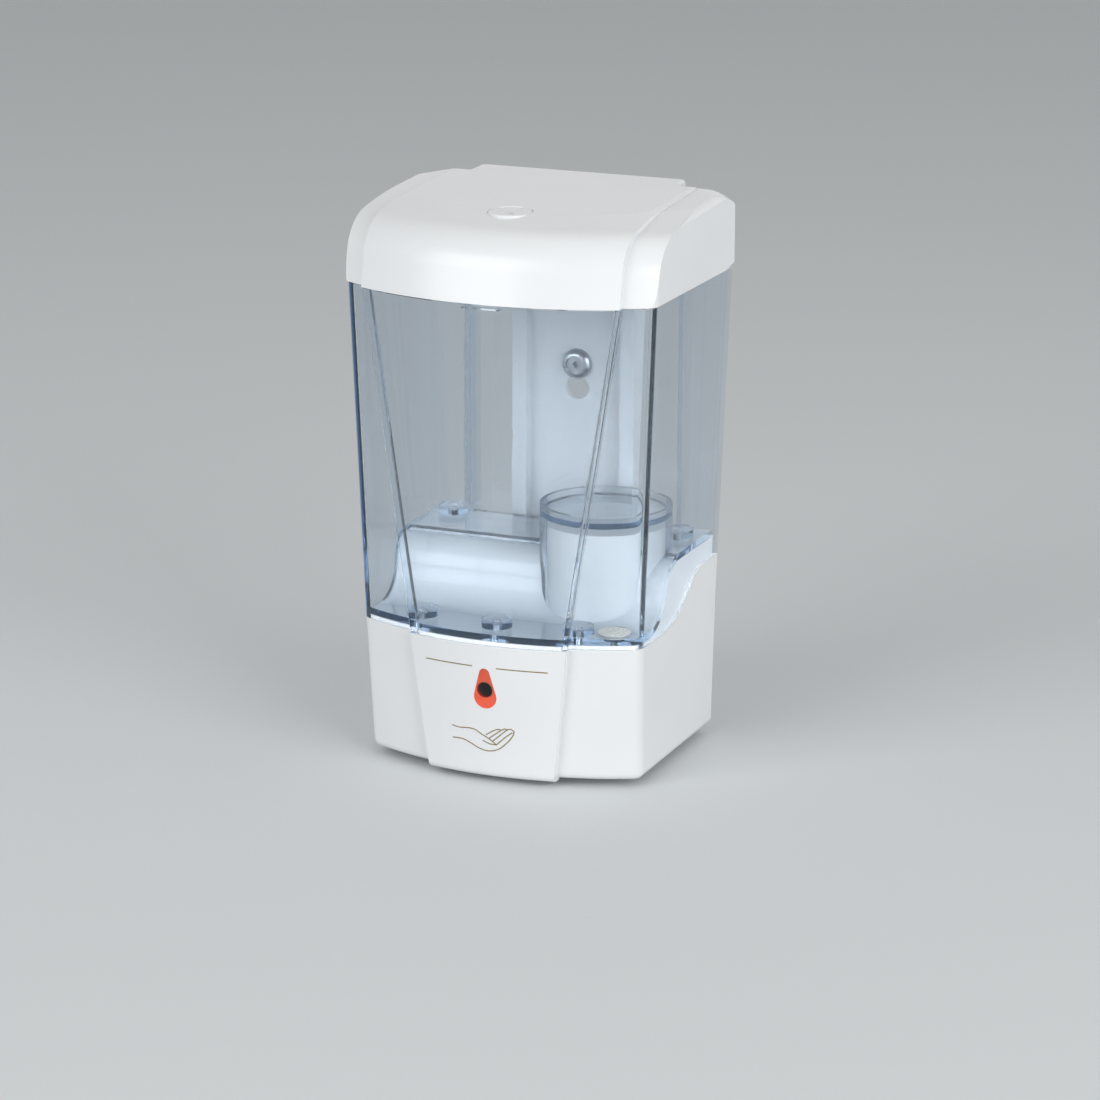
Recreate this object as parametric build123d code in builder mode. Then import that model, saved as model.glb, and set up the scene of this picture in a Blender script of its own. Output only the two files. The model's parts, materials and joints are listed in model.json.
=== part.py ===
from math import acos, atan, cos, pi, radians, sin, sqrt
import os

from build123d import *

os.makedirs("parts", exist_ok=True)

# Frame: X to the right, Y into the wall, Z up, wall plane at y = 0,
# z = 0 at the front parting line between base and tank, millimetres.

# Heights
BASE_HEIGHT = 51.0
TANK_HEIGHT = 124.0
LID_HEIGHT = 30.5

# Plan sizes at the bottom, at the parting line and under the lid
HALF_WIDTH_BOTTOM = 52.6
HALF_WIDTH_SEAM = 53.7
HALF_WIDTH_TOP = 58.5
SHOULDER_FRONT_BOTTOM = -86.9
SHOULDER_FRONT_SEAM = -91.6
SHOULDER_FRONT_TOP = -96.6
PANEL_HALF_BOTTOM = 24.1
PANEL_HALF_SEAM = 30.1
PANEL_HALF_TOP = 48.9
PANEL_PROUD = 3.0
PANEL_ROOT_Y = -66.0
PANEL_EDGE_ROUND = 1.0
CORNER_SHRINK = 0.7
FRONT_RADIUS = 115.0
FRONT_CORNER_ROUND = 4.5
REAR_Y = -2.6
NOTCH_HALF = 40.0
NOTCH_Y = -11.0

# Wall thicknesses and gaps
TANK_WALL = 2.4
BASE_WALL = 2.5
LID_WALL = 2.5
RIM_GAP = 0.3
RIM_WALL = 2.0
FLOOR_THICK = 2.5
DECK_THICK = 2.2
DECK_GAP = 0.3
LID_GAP = 0.5
SEAM_GAP = 0.2
RUN = 0.05
SNUG = 0.02
OVER = 40.0
FUSE = 1.0
TINY = 0.01
UP = (Align.CENTER, Align.CENTER, Align.MIN)
DOWN = (Align.CENTER, Align.CENTER, Align.MAX)
INTO = (Align.CENTER, Align.MIN, Align.MIN)

# Side seam, rising from the front to the rear in a long and a short arc
SEAM_FRONT_Y = -58.0
SEAM_REAR_Y = -18.0
SEAM_LOW_Z = 0.0
SEAM_RISE = 16.0
SEAM_SHARE = 0.72

# Tank floor, from the front level up to the rear shelf in two arcs
FLOOR_FRONT_Y = -68.0
FLOOR_REAR_Y = -42.0
FLOOR_LOW_Z = 3.5
FLOOR_RISE = 22.5
FLOOR_SHARE = 0.5

# Tower over the motor
TOWER_X = 25.0
TOWER_Y = -42.0
TOWER_RADIUS = 23.3
TOWER_WALL = 2.3
TOWER_TOP_Z = 40.0
TOWER_BEAD = 2.2
TOWER_BEAD_WIDTH = 1.6
SLEEVE_GAP = 0.5
SLEEVE_WALL = 2.0
SLEEVE_DROP = 5.0

# Screw bosses of the tank
BOSS_RADIUS = 5.5
BOSS_HEIGHT = 3.0
BOSS_CAP = 1.2
BOSS_POINTS_LOW = [(-30.0, -78.5), (0.0, -81.5), (30.0, -78.5)]
BOSS_POINTS_HIGH = [(-44.0, -20.0), (44.0, -20.0)]
SCREW_RADIUS = 1.5
SCREW_HOLE_RADIUS = SCREW_RADIUS + RUN
SCREW_PASS_RADIUS = 1.8
SCREW_HEAD_RADIUS = 2.8
SCREW_HEAD_HEIGHT = 2.0
SCREW_LENGTH = 9.0
TANK_SCREW_BITE = 1.2

# Drain, hoses and ports
DRAIN_INSET = 12.7
DRAIN_X = HALF_WIDTH_SEAM - DRAIN_INSET
DRAIN_Y = -72.0
SPIGOT_RADIUS = 3.6
SPIGOT_ROOM = 0.4
SPIGOT_END_Z = -4.5
BARB_LENGTH = 6.5
HOSE_BORE = 2.0
HOSE_RADIUS = 3.2
PORT_RADIUS = 1.2
STRAINER_RADIUS = 6.0
STRAINER_SINK = 1.0
STRAINER_THICK = 1.0
MESH_PITCH = 1.8
MESH_COUNT = 5
MESH_HOLE = 1.1
DRAIN_SEAL_THICK = 1.0
DRAIN_SEAL_WIDTH = 2.2

# Catch for the lock, standing on the tank's front edge inside the lid
CATCH_WIDTH = 14.0
CATCH_ROOT_THICK = 1.8
CATCH_THICK = 2.0
CATCH_RISE = 7.5
CATCH_REACH = 7.4
CATCH_EMBED = 0.4
CATCH_SET_BACK = 2.2
CATCH_FRONT_Y = SHOULDER_FRONT_TOP - PANEL_PROUD + TANK_WALL - CATCH_EMBED
CATCH_POST_Y = CATCH_FRONT_Y + CATCH_SET_BACK

# Tank levels
FLOOR_BOTTOM_LOW_Z = FLOOR_LOW_Z - FLOOR_THICK
FLOOR_BOTTOM_HIGH_Z = FLOOR_LOW_Z + FLOOR_RISE - FLOOR_THICK
DECK_TOP_LOW_Z = FLOOR_BOTTOM_LOW_Z - DECK_GAP
DECK_TOP_HIGH_Z = FLOOR_BOTTOM_HIGH_Z - DECK_GAP
DECK_LOW_Z = DECK_TOP_LOW_Z - DECK_THICK
DECK_HIGH_Z = DECK_TOP_HIGH_Z - DECK_THICK
TANK_TOP_Z = TANK_HEIGHT - LID_GAP

# Base
SIDE_LIFT = 0.8
BASE_SIDE_BOTTOM_Z = -BASE_HEIGHT + SIDE_LIFT
BASE_BOTTOM_Z = -BASE_HEIGHT
BASE_BOTTOM_ROUND = 3.0
SHELF_Z = -8.0
RIM_TOP_Z = FLOOR_LOW_Z + FLOOR_RISE
RIM_INSET = TANK_WALL + RIM_GAP
SLEEVE_RADIUS = TOWER_RADIUS - TOWER_WALL - SLEEVE_GAP
SLEEVE_BORE = SLEEVE_RADIUS - SLEEVE_WALL
SLEEVE_TOP_Z = TOWER_TOP_Z - SLEEVE_DROP
PUMP_GAP = 0.1
PUMP_TOP_Z = DECK_LOW_Z - PUMP_GAP
MOTOR_RADIUS = 12.0
RIB_INNER = MOTOR_RADIUS + RUN
RIB_BITE = 0.5
RIB_OUTER = SLEEVE_BORE + RIB_BITE
RIB_WIDTH = 2.0
RIB_COUNT = 3
RIB_TURN = 90.0
RIB_LIFT = 6.0
RIB_HEIGHT = 22.0
PUMP_EAR = 19.5
EAR_SCREW_BITE = 8.0
COVER_THICK = 3.0
COVER_GAP = 0.2
HEAD_ROOM = 0.2
HEAD_SINK = 1.2
COVER_LOW_Z = -46.8
COVER_TOP_Z = COVER_LOW_Z + COVER_THICK
SLOPE_POST_BITE = 2.5
COVER_POINTS = [(-43.0, -68.0, DECK_LOW_Z + FUSE), (-5.0, -18.5, DECK_HIGH_Z + FUSE),
                (34.0, -18.5, DECK_HIGH_Z + FUSE), (45.0, -60.0, DECK_LOW_Z + SLOPE_POST_BITE)]
POST_RADIUS = 3.2
EAR_POST_LENGTH = 14.0
SCREW_HOLE_DEPTH = 10.0
BACK_PASS_DEPTH = 8.0
BACK_SCREW_POINTS = [(-9.0, -36.0), (9.0, -36.0), (-9.0, -13.0), (9.0, -13.0)]
WINDOW_HIGH_Z = -9.2
WINDOW_HALF = 4.25
WINDOW_TIP_RADIUS = 1.9
WINDOW_WIDE_Z = -20.0
WINDOW_GAP = 0.08
WINDOW_PROUD = 0.15
WINDOW_CUT_START = 80.0
WINDOW_CUT = 30.0
BOARD_FRONT_Y = -82.6
BOARD_THICK = 1.6
BOARD_REAR_Y = BOARD_FRONT_Y + BOARD_THICK + SNUG
BOARD_POSTS = [(-10.5, -9.0), (10.5, -9.0)]
BOARD_POST_RADIUS = 2.8
BOARD_POST_LENGTH = 8.0
BOARD_SCREW_RADIUS = 1.2
BOARD_SCREW_DEPTH = 6.0

# Lid, hinge and lock
LID_HALF = 59.15
LID_PANEL_HALF_FRONT = 48.9
LID_PANEL_HALF_REAR = 47.2
LID_SPINE_HALF = 39.8
LID_SPINE_Y = -1.9
LID_PANEL_END_Y = -6.5
LID_AXIS_Y = 17.7
LID_PANEL_RADIUS = 117.7
LID_SHOULDER_RADIUS = 115.2
LID_PANEL_RISE = 1.3
LID_SLOPE = 0.045
LID_LEAN = 0.19
LID_LEAN_HEIGHT = 12.0
LID_FRONT_ROUND = 16.0
LID_SIDE_ROUND = 3.0
LID_CORNER_ROUND = 20.0
LID_CORNER_REACH = 14.8
LID_CORNER_TURN = 34.0
LID_REAR_ROUND = 8.0
LID_SPINE_ROUND = 2.0
LID_BEVEL = 2.6
LID_DOME_SLOPE = 0.2
LID_DOME_END = 20.0
LID_SKIRT = 8.0
LID_LIFT = 10.0
LID_REAR_LIFT = 1.5
LID_LIFT_Y = -12.5
HINGE_ROOM = 1.0
LID_LOW_Z = TANK_HEIGHT
LID_TOP_Z = TANK_HEIGHT + LID_HEIGHT
HINGE_Y = -10.5
HINGE_DROP = 3.7
HINGE_Z = LID_TOP_Z + LID_SLOPE * HINGE_Y - LID_WALL - HINGE_DROP
EAR_RADIUS = 3.2
EAR_X = 14.75
EAR_HALF = 2.75
PIN_RADIUS = 1.5
PIN_START = 11.8
PIN_LENGTH = 11.8
LOCK_Y = -70.0
LOCK_RADIUS = 8.0
LOCK_GAP = 0.08
LOCK_DEPTH = 6.5
LOCK_TOP_Z = LID_TOP_Z + LID_SLOPE * LOCK_Y
LOCK_SEAT_Z = LOCK_TOP_Z - LOCK_DEPTH
LOCK_FLOOR = 2.0
LOCK_WALL = 2.0
LOCK_EDGE_ROUND = 0.6
LOCK_DISH_RADIUS = 30.0
LOCK_DISH_DEPTH = 0.7
LOCK_KEY_RADIUS = 1.4
LOCK_KEY_SIDES = 6
LOCK_KEY_DEPTH = 2.6
LOCK_RING_RADIUS = 7.0
LOCK_RING_THICK = 1.6
STEM_RADIUS = 4.0
STEM_END_RADIUS = 2.5
CAM_THICK = 2.0
CAM_GAP = 0.5
CAM_TOP_Z = TANK_TOP_Z + CATCH_RISE - CATCH_THICK - CAM_GAP
CAM_LENGTH = 22.6
CAM_WIDTH = 8.0
CAM_HUB_RADIUS = 5.0
LOCK_SCREW_RADIUS = 1.2
LOCK_SCREW_LENGTH = 7.0
LOCK_SCREW_HEAD = 3.8
LOCK_SCREW_HEAD_HEIGHT = 1.6
LOCK_SCREW_SLOT = (5.0, 0.8, 0.7)

# Back plate and wall screw
PLATE_HALF = 39.5
PLATE_LOW_Z = -47.5
PLATE_HIGH_Z = 14.0
PLATE_THICK = 2.5
PLATE_WALL = 2.2
PLATE_ROUND = 2.0
PLATE_GAP = 0.2
PLATE_BITE = 0.5
PLATE_DEPTH = -NOTCH_Y - PLATE_GAP
BACK_POST_RADIUS = 3.6
SPINE_HALF = 24.0
SPINE_FLANGE = 5.6
SPINE_FRONT_Y = -10.5
SPINE_PLATE_Y = -5.6
SPINE_PLATE_THICK = 2.6
SPINE_ROOT = 2.0
SPINE_LOW_Z = PLATE_HIGH_Z - SPINE_ROOT
KNUCKLE_X = 20.75
KNUCKLE_HALF = 2.5
KNUCKLE_HEIGHT = 8.6
SPINE_TOP_Z = HINGE_Z - KNUCKLE_HEIGHT
KEYHOLE_Z = 74.4
KEYHOLE_RADIUS = 4.6
KEYHOLE_CUT = 8.0
SCREW_SEAT_Z = 83.5
SLOT_HALF = 2.5
WALL_SCREW_RADIUS = 2.1
WALL_SCREW_HEAD = 5.7
WALL_SCREW_RIM = 0.9
WALL_SCREW_MID = 4.9
WALL_SCREW_MID_RISE = 2.0
WALL_SCREW_RISE = 2.7
WALL_SCREW_CUP = 3.4
WALL_SCREW_CUP_DEPTH = 0.9
WALL_SCREW_SOCKET = 1.2
WALL_SCREW_SOCKET_DEPTH = 2.6
WALL_SCREW_LENGTH = 26.0
WALL_SCREW_GAP = 0.1
WALL_SCREW_Y = SPINE_PLATE_Y - WALL_SCREW_GAP
WALL_SCREW_CUP_Y = WALL_SCREW_Y - WALL_SCREW_RISE + WALL_SCREW_CUP_DEPTH

# Batteries
CELL_RADIUS = 7.25
CELL_BODY = 49.2
CELL_NUB = 1.3
CELL_NUB_RADIUS = 2.7
CELL_ROUND = 0.5
CELL_PITCH = 15.5
CELL_X0 = -38.0
CELL_Y0 = -41.0
CELL_X = (CELL_X0, CELL_X0 + CELL_PITCH)
CELL_Y = (CELL_Y0, CELL_Y0 + CELL_PITCH)
CELL_LOW_Z = -42.0
BOX_WALL = 1.6
BOX_PLAY = 0.5
BOX_X0 = CELL_X[0] - CELL_RADIUS - BOX_PLAY
BOX_X1 = CELL_X[1] + CELL_RADIUS + BOX_PLAY
BOX_Y0 = CELL_Y[0] - CELL_RADIUS - BOX_PLAY
BOX_Y1 = CELL_Y[1] + CELL_RADIUS + BOX_PLAY
BOX_GAP = 0.1
BOX_ROUND = 2.0
BOX_LOW_Z = COVER_TOP_Z + BOX_GAP
CONTACT_THICK = 0.4
CONTACT_ROOM = 1.2
CONTACT_WIDTH = 8.0
CONTACT_RADIUS = 2.4
CONTACT_RISE = 1.1
DOOR_CONTACT = 7.0
SPRING_RADIUS = 2.2
SPRING_GAP = 0.08
BOX_CEILING_Z = CELL_LOW_Z + CELL_BODY + CELL_NUB + CONTACT_ROOM

# Bottom cover, battery door and switch
DOOR_GAP = 0.3
DOOR_HINGE_BACK = 3.7
DOOR_HINGE_Y = BOX_Y0 - DOOR_HINGE_BACK
DOOR_HINGE_Z = (COVER_LOW_Z + COVER_TOP_Z) / 2
DOOR_LAP = 0.2
DOOR_X0 = BOX_X0 - DOOR_LAP
DOOR_X1 = BOX_X1 + DOOR_LAP
DOOR_X = (DOOR_X0 + DOOR_X1) / 2
DOOR_WIDTH = DOOR_X1 - DOOR_X0
DOOR_Y1 = BOX_Y1 + 2 * DOOR_LAP
DOOR_PIN_RADIUS = 0.85
DOOR_PIN_LENGTH = 2.6
DOOR_PIN_ROOM = 0.4
FINGER_RADIUS = 6.0
FINGER_DEPTH = 1.4
GRIP_COUNT = 5
GRIP_START = 6.0
GRIP_PITCH = 3.0
GRIP_LENGTH = 20.0
GRIP_WIDTH = 1.2
GRIP_DEPTH = 0.6
NOZZLE_X = 0.0
NOZZLE_Y = -66.0
NOZZLE_RADIUS = 5.8
SWITCH_X = 38.0
SWITCH_Y = -33.0
SWITCH_TRAVEL = 3.0
KNOB_X = 3.0
KNOB_Y = 4.0
KNOB_ROOM = 0.3
KNOB_PROUD = 0.6
KNOB_RISE = 1.0
KNOB_ROUND = 0.4
COLLAR_LIP = 0.6
COLLAR_LIFT = 0.4
COLLAR_HEIGHT = 1.6
SWITCH_LENGTH = 13.0
SWITCH_WIDTH = 7.0
SWITCH_HEIGHT = 4.6
SWITCH_HOLLOW = 2.4
LEG_PITCH = 3.0
LEG_LIFT = 4.0
LEG_WIDTH = 0.8
LEG_DEPTH = 1.6
LEG_LENGTH = 3.4

# Motor
MOTOR_LENGTH = 30.0
MOTOR_LOW_Z = PUMP_TOP_Z + SNUG
MOTOR_TOP_Z = MOTOR_LOW_Z + MOTOR_LENGTH
SHAFT_RADIUS = 1.15
SHAFT_ROOM = 0.3
SHAFT_SINK = 0.4
CAP_THICK = 1.8
CEILING_Z = SLEEVE_TOP_Z - SLEEVE_WALL
CAN_WALL = 1.0
CAN_ROUND = 1.2
CAN_FLOOR = 1.5
CAP_PLUG = 2.0
MAGNET_LIFT = 4.0
MAGNET_HEIGHT = 19.0
MAGNET_INNER = 8.4
MAGNET_SPLIT = 6.0
ARMATURE_LIFT = 5.0
ARMATURE_HEIGHT = 17.0
ARMATURE_RADIUS = 7.9
ARMATURE_POLES = 3
POLE_GAP_RADIUS = 1.7
POLE_GAP_CIRCLE = 6.4
POLE_GAP_TURN = 30.0
PAD_RADIUS = 9.0
PAD_BORE = 5.0

# Pump
BODY_HEIGHT = 10.5
BODY_LOW_Z = PUMP_TOP_Z - BODY_HEIGHT
BODY_RADIUS = 13.2
CHAMBER_HEIGHT = 7.9
CHAMBER_RADIUS = 6.6
VOLUTE_RADIUS = 6.9
VOLUTE_SHIFT = 2.4
IMPELLER_RADIUS = 6.2
IMPELLER_DISC = 1.6
IMPELLER_HUB_RADIUS = 3.2
IMPELLER_HUB = 4.4
IMPELLER_LOW_Z = BODY_LOW_Z + RUN
IMPELLER_TOP_Z = BODY_LOW_Z + CHAMBER_HEIGHT - RUN
VANE_COUNT = 6
VANE_PLACE = 4.3
VANE_LENGTH = 4.4
VANE_WIDTH = 1.0
VANE_LEAN = 35.0
FLANGE_THICK = 2.6
FLANGE_WIDTH = 8.0
GASKET_THICK = 0.5
PUMP_COVER_THICK = 3.0
PUMP_COVER_TOP_Z = BODY_LOW_Z - GASKET_THICK - 2 * SNUG
PUMP_COVER_LOW_Z = PUMP_COVER_TOP_Z - PUMP_COVER_THICK
SEAL_RADIUS = 3.2
SEAL_SEAT = 1.5
SEAL_THICK = 1.4
PUMP_SPAN = sqrt((NOZZLE_X - TOWER_X) ** 2 + (NOZZLE_Y - TOWER_Y) ** 2)
OUT_DIR = ((NOZZLE_X - TOWER_X) / PUMP_SPAN, (NOZZLE_Y - TOWER_Y) / PUMP_SPAN)
OUT_SHIFT = 7.6
OUT_X = TOWER_X + OUT_SHIFT * OUT_DIR[0]
OUT_Y = TOWER_Y + OUT_SHIFT * OUT_DIR[1]
VOLUTE_X = TOWER_X + VOLUTE_SHIFT * OUT_DIR[0]
VOLUTE_Y = TOWER_Y + VOLUTE_SHIFT * OUT_DIR[1]
PORTS = [(TOWER_X, TOWER_Y), (OUT_X, OUT_Y)]
PUMP_EARS = [(TOWER_X - PUMP_EAR, TOWER_Y), (TOWER_X + PUMP_EAR, TOWER_Y)]
PUMP_SCREW_CIRCLE = 10.9
PUMP_SCREW_TURNS = (-pi / 2, 0.0, pi / 2, pi)
PUMP_SCREWS = [(TOWER_X + PUMP_SCREW_CIRCLE * cos(a), TOWER_Y + PUMP_SCREW_CIRCLE * sin(a))
               for a in PUMP_SCREW_TURNS]
PUMP_SCREW_RADIUS = 1.2
PUMP_SCREW_LENGTH = 9.0
PUMP_SCREW_DEPTH = 7.0
PUMP_SCREW_HEAD = 2.1
PUMP_SCREW_HEAD_HEIGHT = 1.6

# Hose runs
HOSE_END_GAP = 0.3
HOSE_STRAIGHT = 0.5
HOSE_TOP_PUMP_Z = PUMP_COVER_LOW_Z - HOSE_END_GAP
HOSE_TOP_DRAIN_Z = SPIGOT_END_Z - HOSE_END_GAP
IN_SPAN = sqrt((DRAIN_X - TOWER_X) ** 2 + (DRAIN_Y - TOWER_Y) ** 2)
IN_BEND_Z = PUMP_COVER_LOW_Z - BARB_LENGTH - HOSE_STRAIGHT
OUT_SPAN = PUMP_SPAN - OUT_SHIFT
OUT_BEND = 8.0
OUT_LEVEL_Z = PUMP_COVER_LOW_Z - BARB_LENGTH - HOSE_STRAIGHT - OUT_BEND
NOZZLE_BARB_START = 4.5
NOZZLE_BARB_END = 10.5

# Nozzle and valve
NOZZLE_PROUD = 1.5
NOZZLE_TIP_Z = BASE_BOTTOM_Z - NOZZLE_PROUD
NOZZLE_FLANGE_Z = COVER_TOP_Z + SNUG
NOZZLE_HEAD = 4.5
NOZZLE_NECK = 4.0
NOZZLE_FLANGE_RADIUS = 8.2
NOZZLE_FLANGE_THICK = 2.0
NOZZLE_TOP_Z = OUT_LEVEL_Z + NOZZLE_HEAD
VALVE_RADIUS = 4.2
VALVE_HEIGHT = 6.0
VALVE_RIM = 1.5
VALVE_NECK = 2.6
VALVE_BORE = 1.0
VALVE_PROUD = 0.4
VALVE_LIP = 0.8
VALVE_LIP_LENGTH = 4.6
VALVE_LIP_WIDTH = 1.4
VALVE_TOP_Z = NOZZLE_TIP_Z + VALVE_HEIGHT

# Board, eye and lamp
BOARD_HALF = 14.0
BOARD_ROUND = 1.5
BOARD_HOLE_ROOM = 0.3
BOARD_SCREW_BITE = 5.0
BOARD_SCREW_HEAD = 2.2
BOARD_SCREW_HEAD_HEIGHT = 1.5
BOARD_LOW_Z = -38.0
BOARD_HIGH_Z = -4.0
EYE_Z = -17.5
EYE_RADIUS = 3.0
EYE_LENGTH = 5.2
EYE_ROUND = 1.6
LAMP_DROP = 5.0
LAMP_RADIUS = 1.5
LAMP_LENGTH = 4.6
LAMP_ROUND = 1.2
CHIP_Z = -29.5
CHIP_LENGTH = 10.0
CHIP_THICK = 1.6
CHIP_WIDTH = 6.0
CHIP_LEG_PITCH = 1.27
CHIP_LEG_SHIFT = 3.6
CHIP_LEG = (0.45, 0.5, 1.6)


def between(z, low, middle, high):
    if z < 0:
        return middle + (low - middle) * (-z) / BASE_HEIGHT
    return middle + (high - middle) * z / TANK_HEIGHT


def half_width(z):
    return between(z, HALF_WIDTH_BOTTOM, HALF_WIDTH_SEAM, HALF_WIDTH_TOP)


def shoulder_front(z):
    return between(z, SHOULDER_FRONT_BOTTOM, SHOULDER_FRONT_SEAM, SHOULDER_FRONT_TOP)


def panel_half(z):
    return between(z, PANEL_HALF_BOTTOM, PANEL_HALF_SEAM, PANEL_HALF_TOP)


def arc_y(x, front_y, radius):
    return front_y + radius - sqrt(radius * radius - x * x)


def body_outline(z, inset, lobes=True):
    """Plan of the shoulders at height z, drawn inwards by inset, with or without the rear lobes."""
    radius = FRONT_RADIUS - inset
    x1 = half_width(z) - inset
    front = shoulder_front(z) + inset
    y1 = arc_y(x1, front, radius)
    y2 = REAR_Y - inset
    x3 = NOTCH_HALF + inset
    y3 = NOTCH_Y - inset
    with BuildLine() as lines:
        ThreePointArc((-x1, y1), (0, front), (x1, y1))
        if lobes:
            Polyline((x1, y1), (x1, y2), (x3, y2), (x3, y3), (-x3, y3), (-x3, y2), (-x1, y2), (-x1, y1))
        else:
            Polyline((x1, y1), (x1, y3), (-x1, y3), (-x1, y1))
    plan = make_face(lines.edges())
    corners = [v for v in plan.vertices() if abs(v.Y - y1) < TINY]
    fillet(corners, FRONT_CORNER_ROUND - CORNER_SHRINK * inset)


def panel_outline(z, inset, rounded=True):
    """Plan of the raised front panel at height z, drawn inwards by inset."""
    radius = FRONT_RADIUS - inset
    x1 = panel_half(z) - inset
    front = shoulder_front(z) - PANEL_PROUD + inset
    y1 = arc_y(x1, front, radius)
    with BuildLine() as lines:
        ThreePointArc((-x1, y1), (0, front), (x1, y1))
        Polyline((x1, y1), (x1, PANEL_ROOT_Y), (-x1, PANEL_ROOT_Y), (-x1, y1))
    plan = make_face(lines.edges())
    if rounded:
        corners = [v for v in plan.vertices() if abs(v.Y - y1) < TINY]
        fillet(corners, PANEL_EDGE_ROUND)


def step_profile(y0, y1, z0, rise, share, drop):
    """Side view of the region under a level that steps up in two arcs, lowered by drop."""
    turn = 2 * atan(rise / (y1 - y0))
    total = (y1 - y0) / sin(turn)
    low_radius = share * total
    high_radius = total - low_radius
    r1 = low_radius + drop
    r2 = high_radius - drop
    za = z0 - drop
    zb = z0 + rise - drop
    c1 = (y0, z0 + low_radius)
    c2 = (y1, z0 + rise - high_radius)
    p1 = (c1[0] + r1 * sin(turn), c1[1] - r1 * cos(turn))
    m1 = (c1[0] + r1 * sin(turn / 2), c1[1] - r1 * cos(turn / 2))
    m2 = (c2[0] - r2 * sin(turn / 2), c2[1] + r2 * cos(turn / 2))
    far = -3 * OVER
    near = OVER
    edge = -2 * OVER
    with BuildLine() as lines:
        Line((far, za), (y0, za))
        ThreePointArc((y0, za), m1, p1)
        ThreePointArc(p1, m2, (y1, zb))
        Polyline((y1, zb), (near, zb), (near, edge), (far, edge), (far, za))
    make_face(lines.edges())


# Regions used by several pieces
with BuildPart() as under_floor_top:
    with BuildSketch(Plane.YZ):
        step_profile(FLOOR_FRONT_Y, FLOOR_REAR_Y, FLOOR_LOW_Z, FLOOR_RISE, FLOOR_SHARE, 0.0)
    extrude(amount=2 * OVER, both=True)

with BuildPart() as under_floor_bottom:
    with BuildSketch(Plane.YZ):
        step_profile(FLOOR_FRONT_Y, FLOOR_REAR_Y, FLOOR_LOW_Z, FLOOR_RISE, FLOOR_SHARE, FLOOR_THICK)
    extrude(amount=2 * OVER, both=True)

with BuildPart() as under_deck_top:
    with BuildSketch(Plane.YZ):
        step_profile(FLOOR_FRONT_Y, FLOOR_REAR_Y, FLOOR_LOW_Z, FLOOR_RISE, FLOOR_SHARE,
                     FLOOR_THICK + DECK_GAP)
    extrude(amount=2 * OVER, both=True)

with BuildPart() as under_deck_bottom:
    with BuildSketch(Plane.YZ):
        step_profile(FLOOR_FRONT_Y, FLOOR_REAR_Y, FLOOR_LOW_Z, FLOOR_RISE, FLOOR_SHARE,
                     FLOOR_THICK + DECK_GAP + DECK_THICK)
    extrude(amount=2 * OVER, both=True)

with BuildPart() as under_seam:
    with BuildSketch(Plane.YZ):
        step_profile(SEAM_FRONT_Y, SEAM_REAR_Y, SEAM_LOW_Z, SEAM_RISE, SEAM_SHARE, 0.0)
    extrude(amount=2 * OVER, both=True)

with BuildPart() as under_base_edge:
    with BuildSketch(Plane.YZ):
        step_profile(SEAM_FRONT_Y, SEAM_REAR_Y, SEAM_LOW_Z, SEAM_RISE, SEAM_SHARE, SEAM_GAP)
    extrude(amount=2 * OVER, both=True)

# Tank
with BuildPart() as tank_space:
    with BuildSketch(Plane.XY):
        body_outline(0, TANK_WALL)
    with BuildSketch(Plane.XY.offset(TANK_HEIGHT)):
        body_outline(TANK_HEIGHT, TANK_WALL)
    loft(ruled=True)
    with BuildSketch(Plane.XY):
        panel_outline(0, TANK_WALL)
    with BuildSketch(Plane.XY.offset(TANK_HEIGHT)):
        panel_outline(TANK_HEIGHT, TANK_WALL)
    loft(ruled=True)

with BuildPart() as tank_hollow:
    add(tank_space.part)
    add(under_floor_top.part, mode=Mode.SUBTRACT)

with BuildPart() as tank_underside:
    add(tank_space.part)
    add(under_floor_bottom.part, mode=Mode.INTERSECT)

with BuildPart() as tower_column:
    with Locations((TOWER_X, TOWER_Y, -OVER)):
        Cylinder(TOWER_RADIUS, OVER + TOWER_TOP_Z, align=UP)
    add(under_floor_bottom.part, mode=Mode.SUBTRACT)
    with Locations((TOWER_X, TOWER_Y, TOWER_TOP_Z)):
        Cylinder(TOWER_RADIUS, TOWER_BEAD, align=UP)
        Cylinder(TOWER_RADIUS - TOWER_BEAD_WIDTH, TOWER_BEAD, align=UP, mode=Mode.SUBTRACT)

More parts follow.
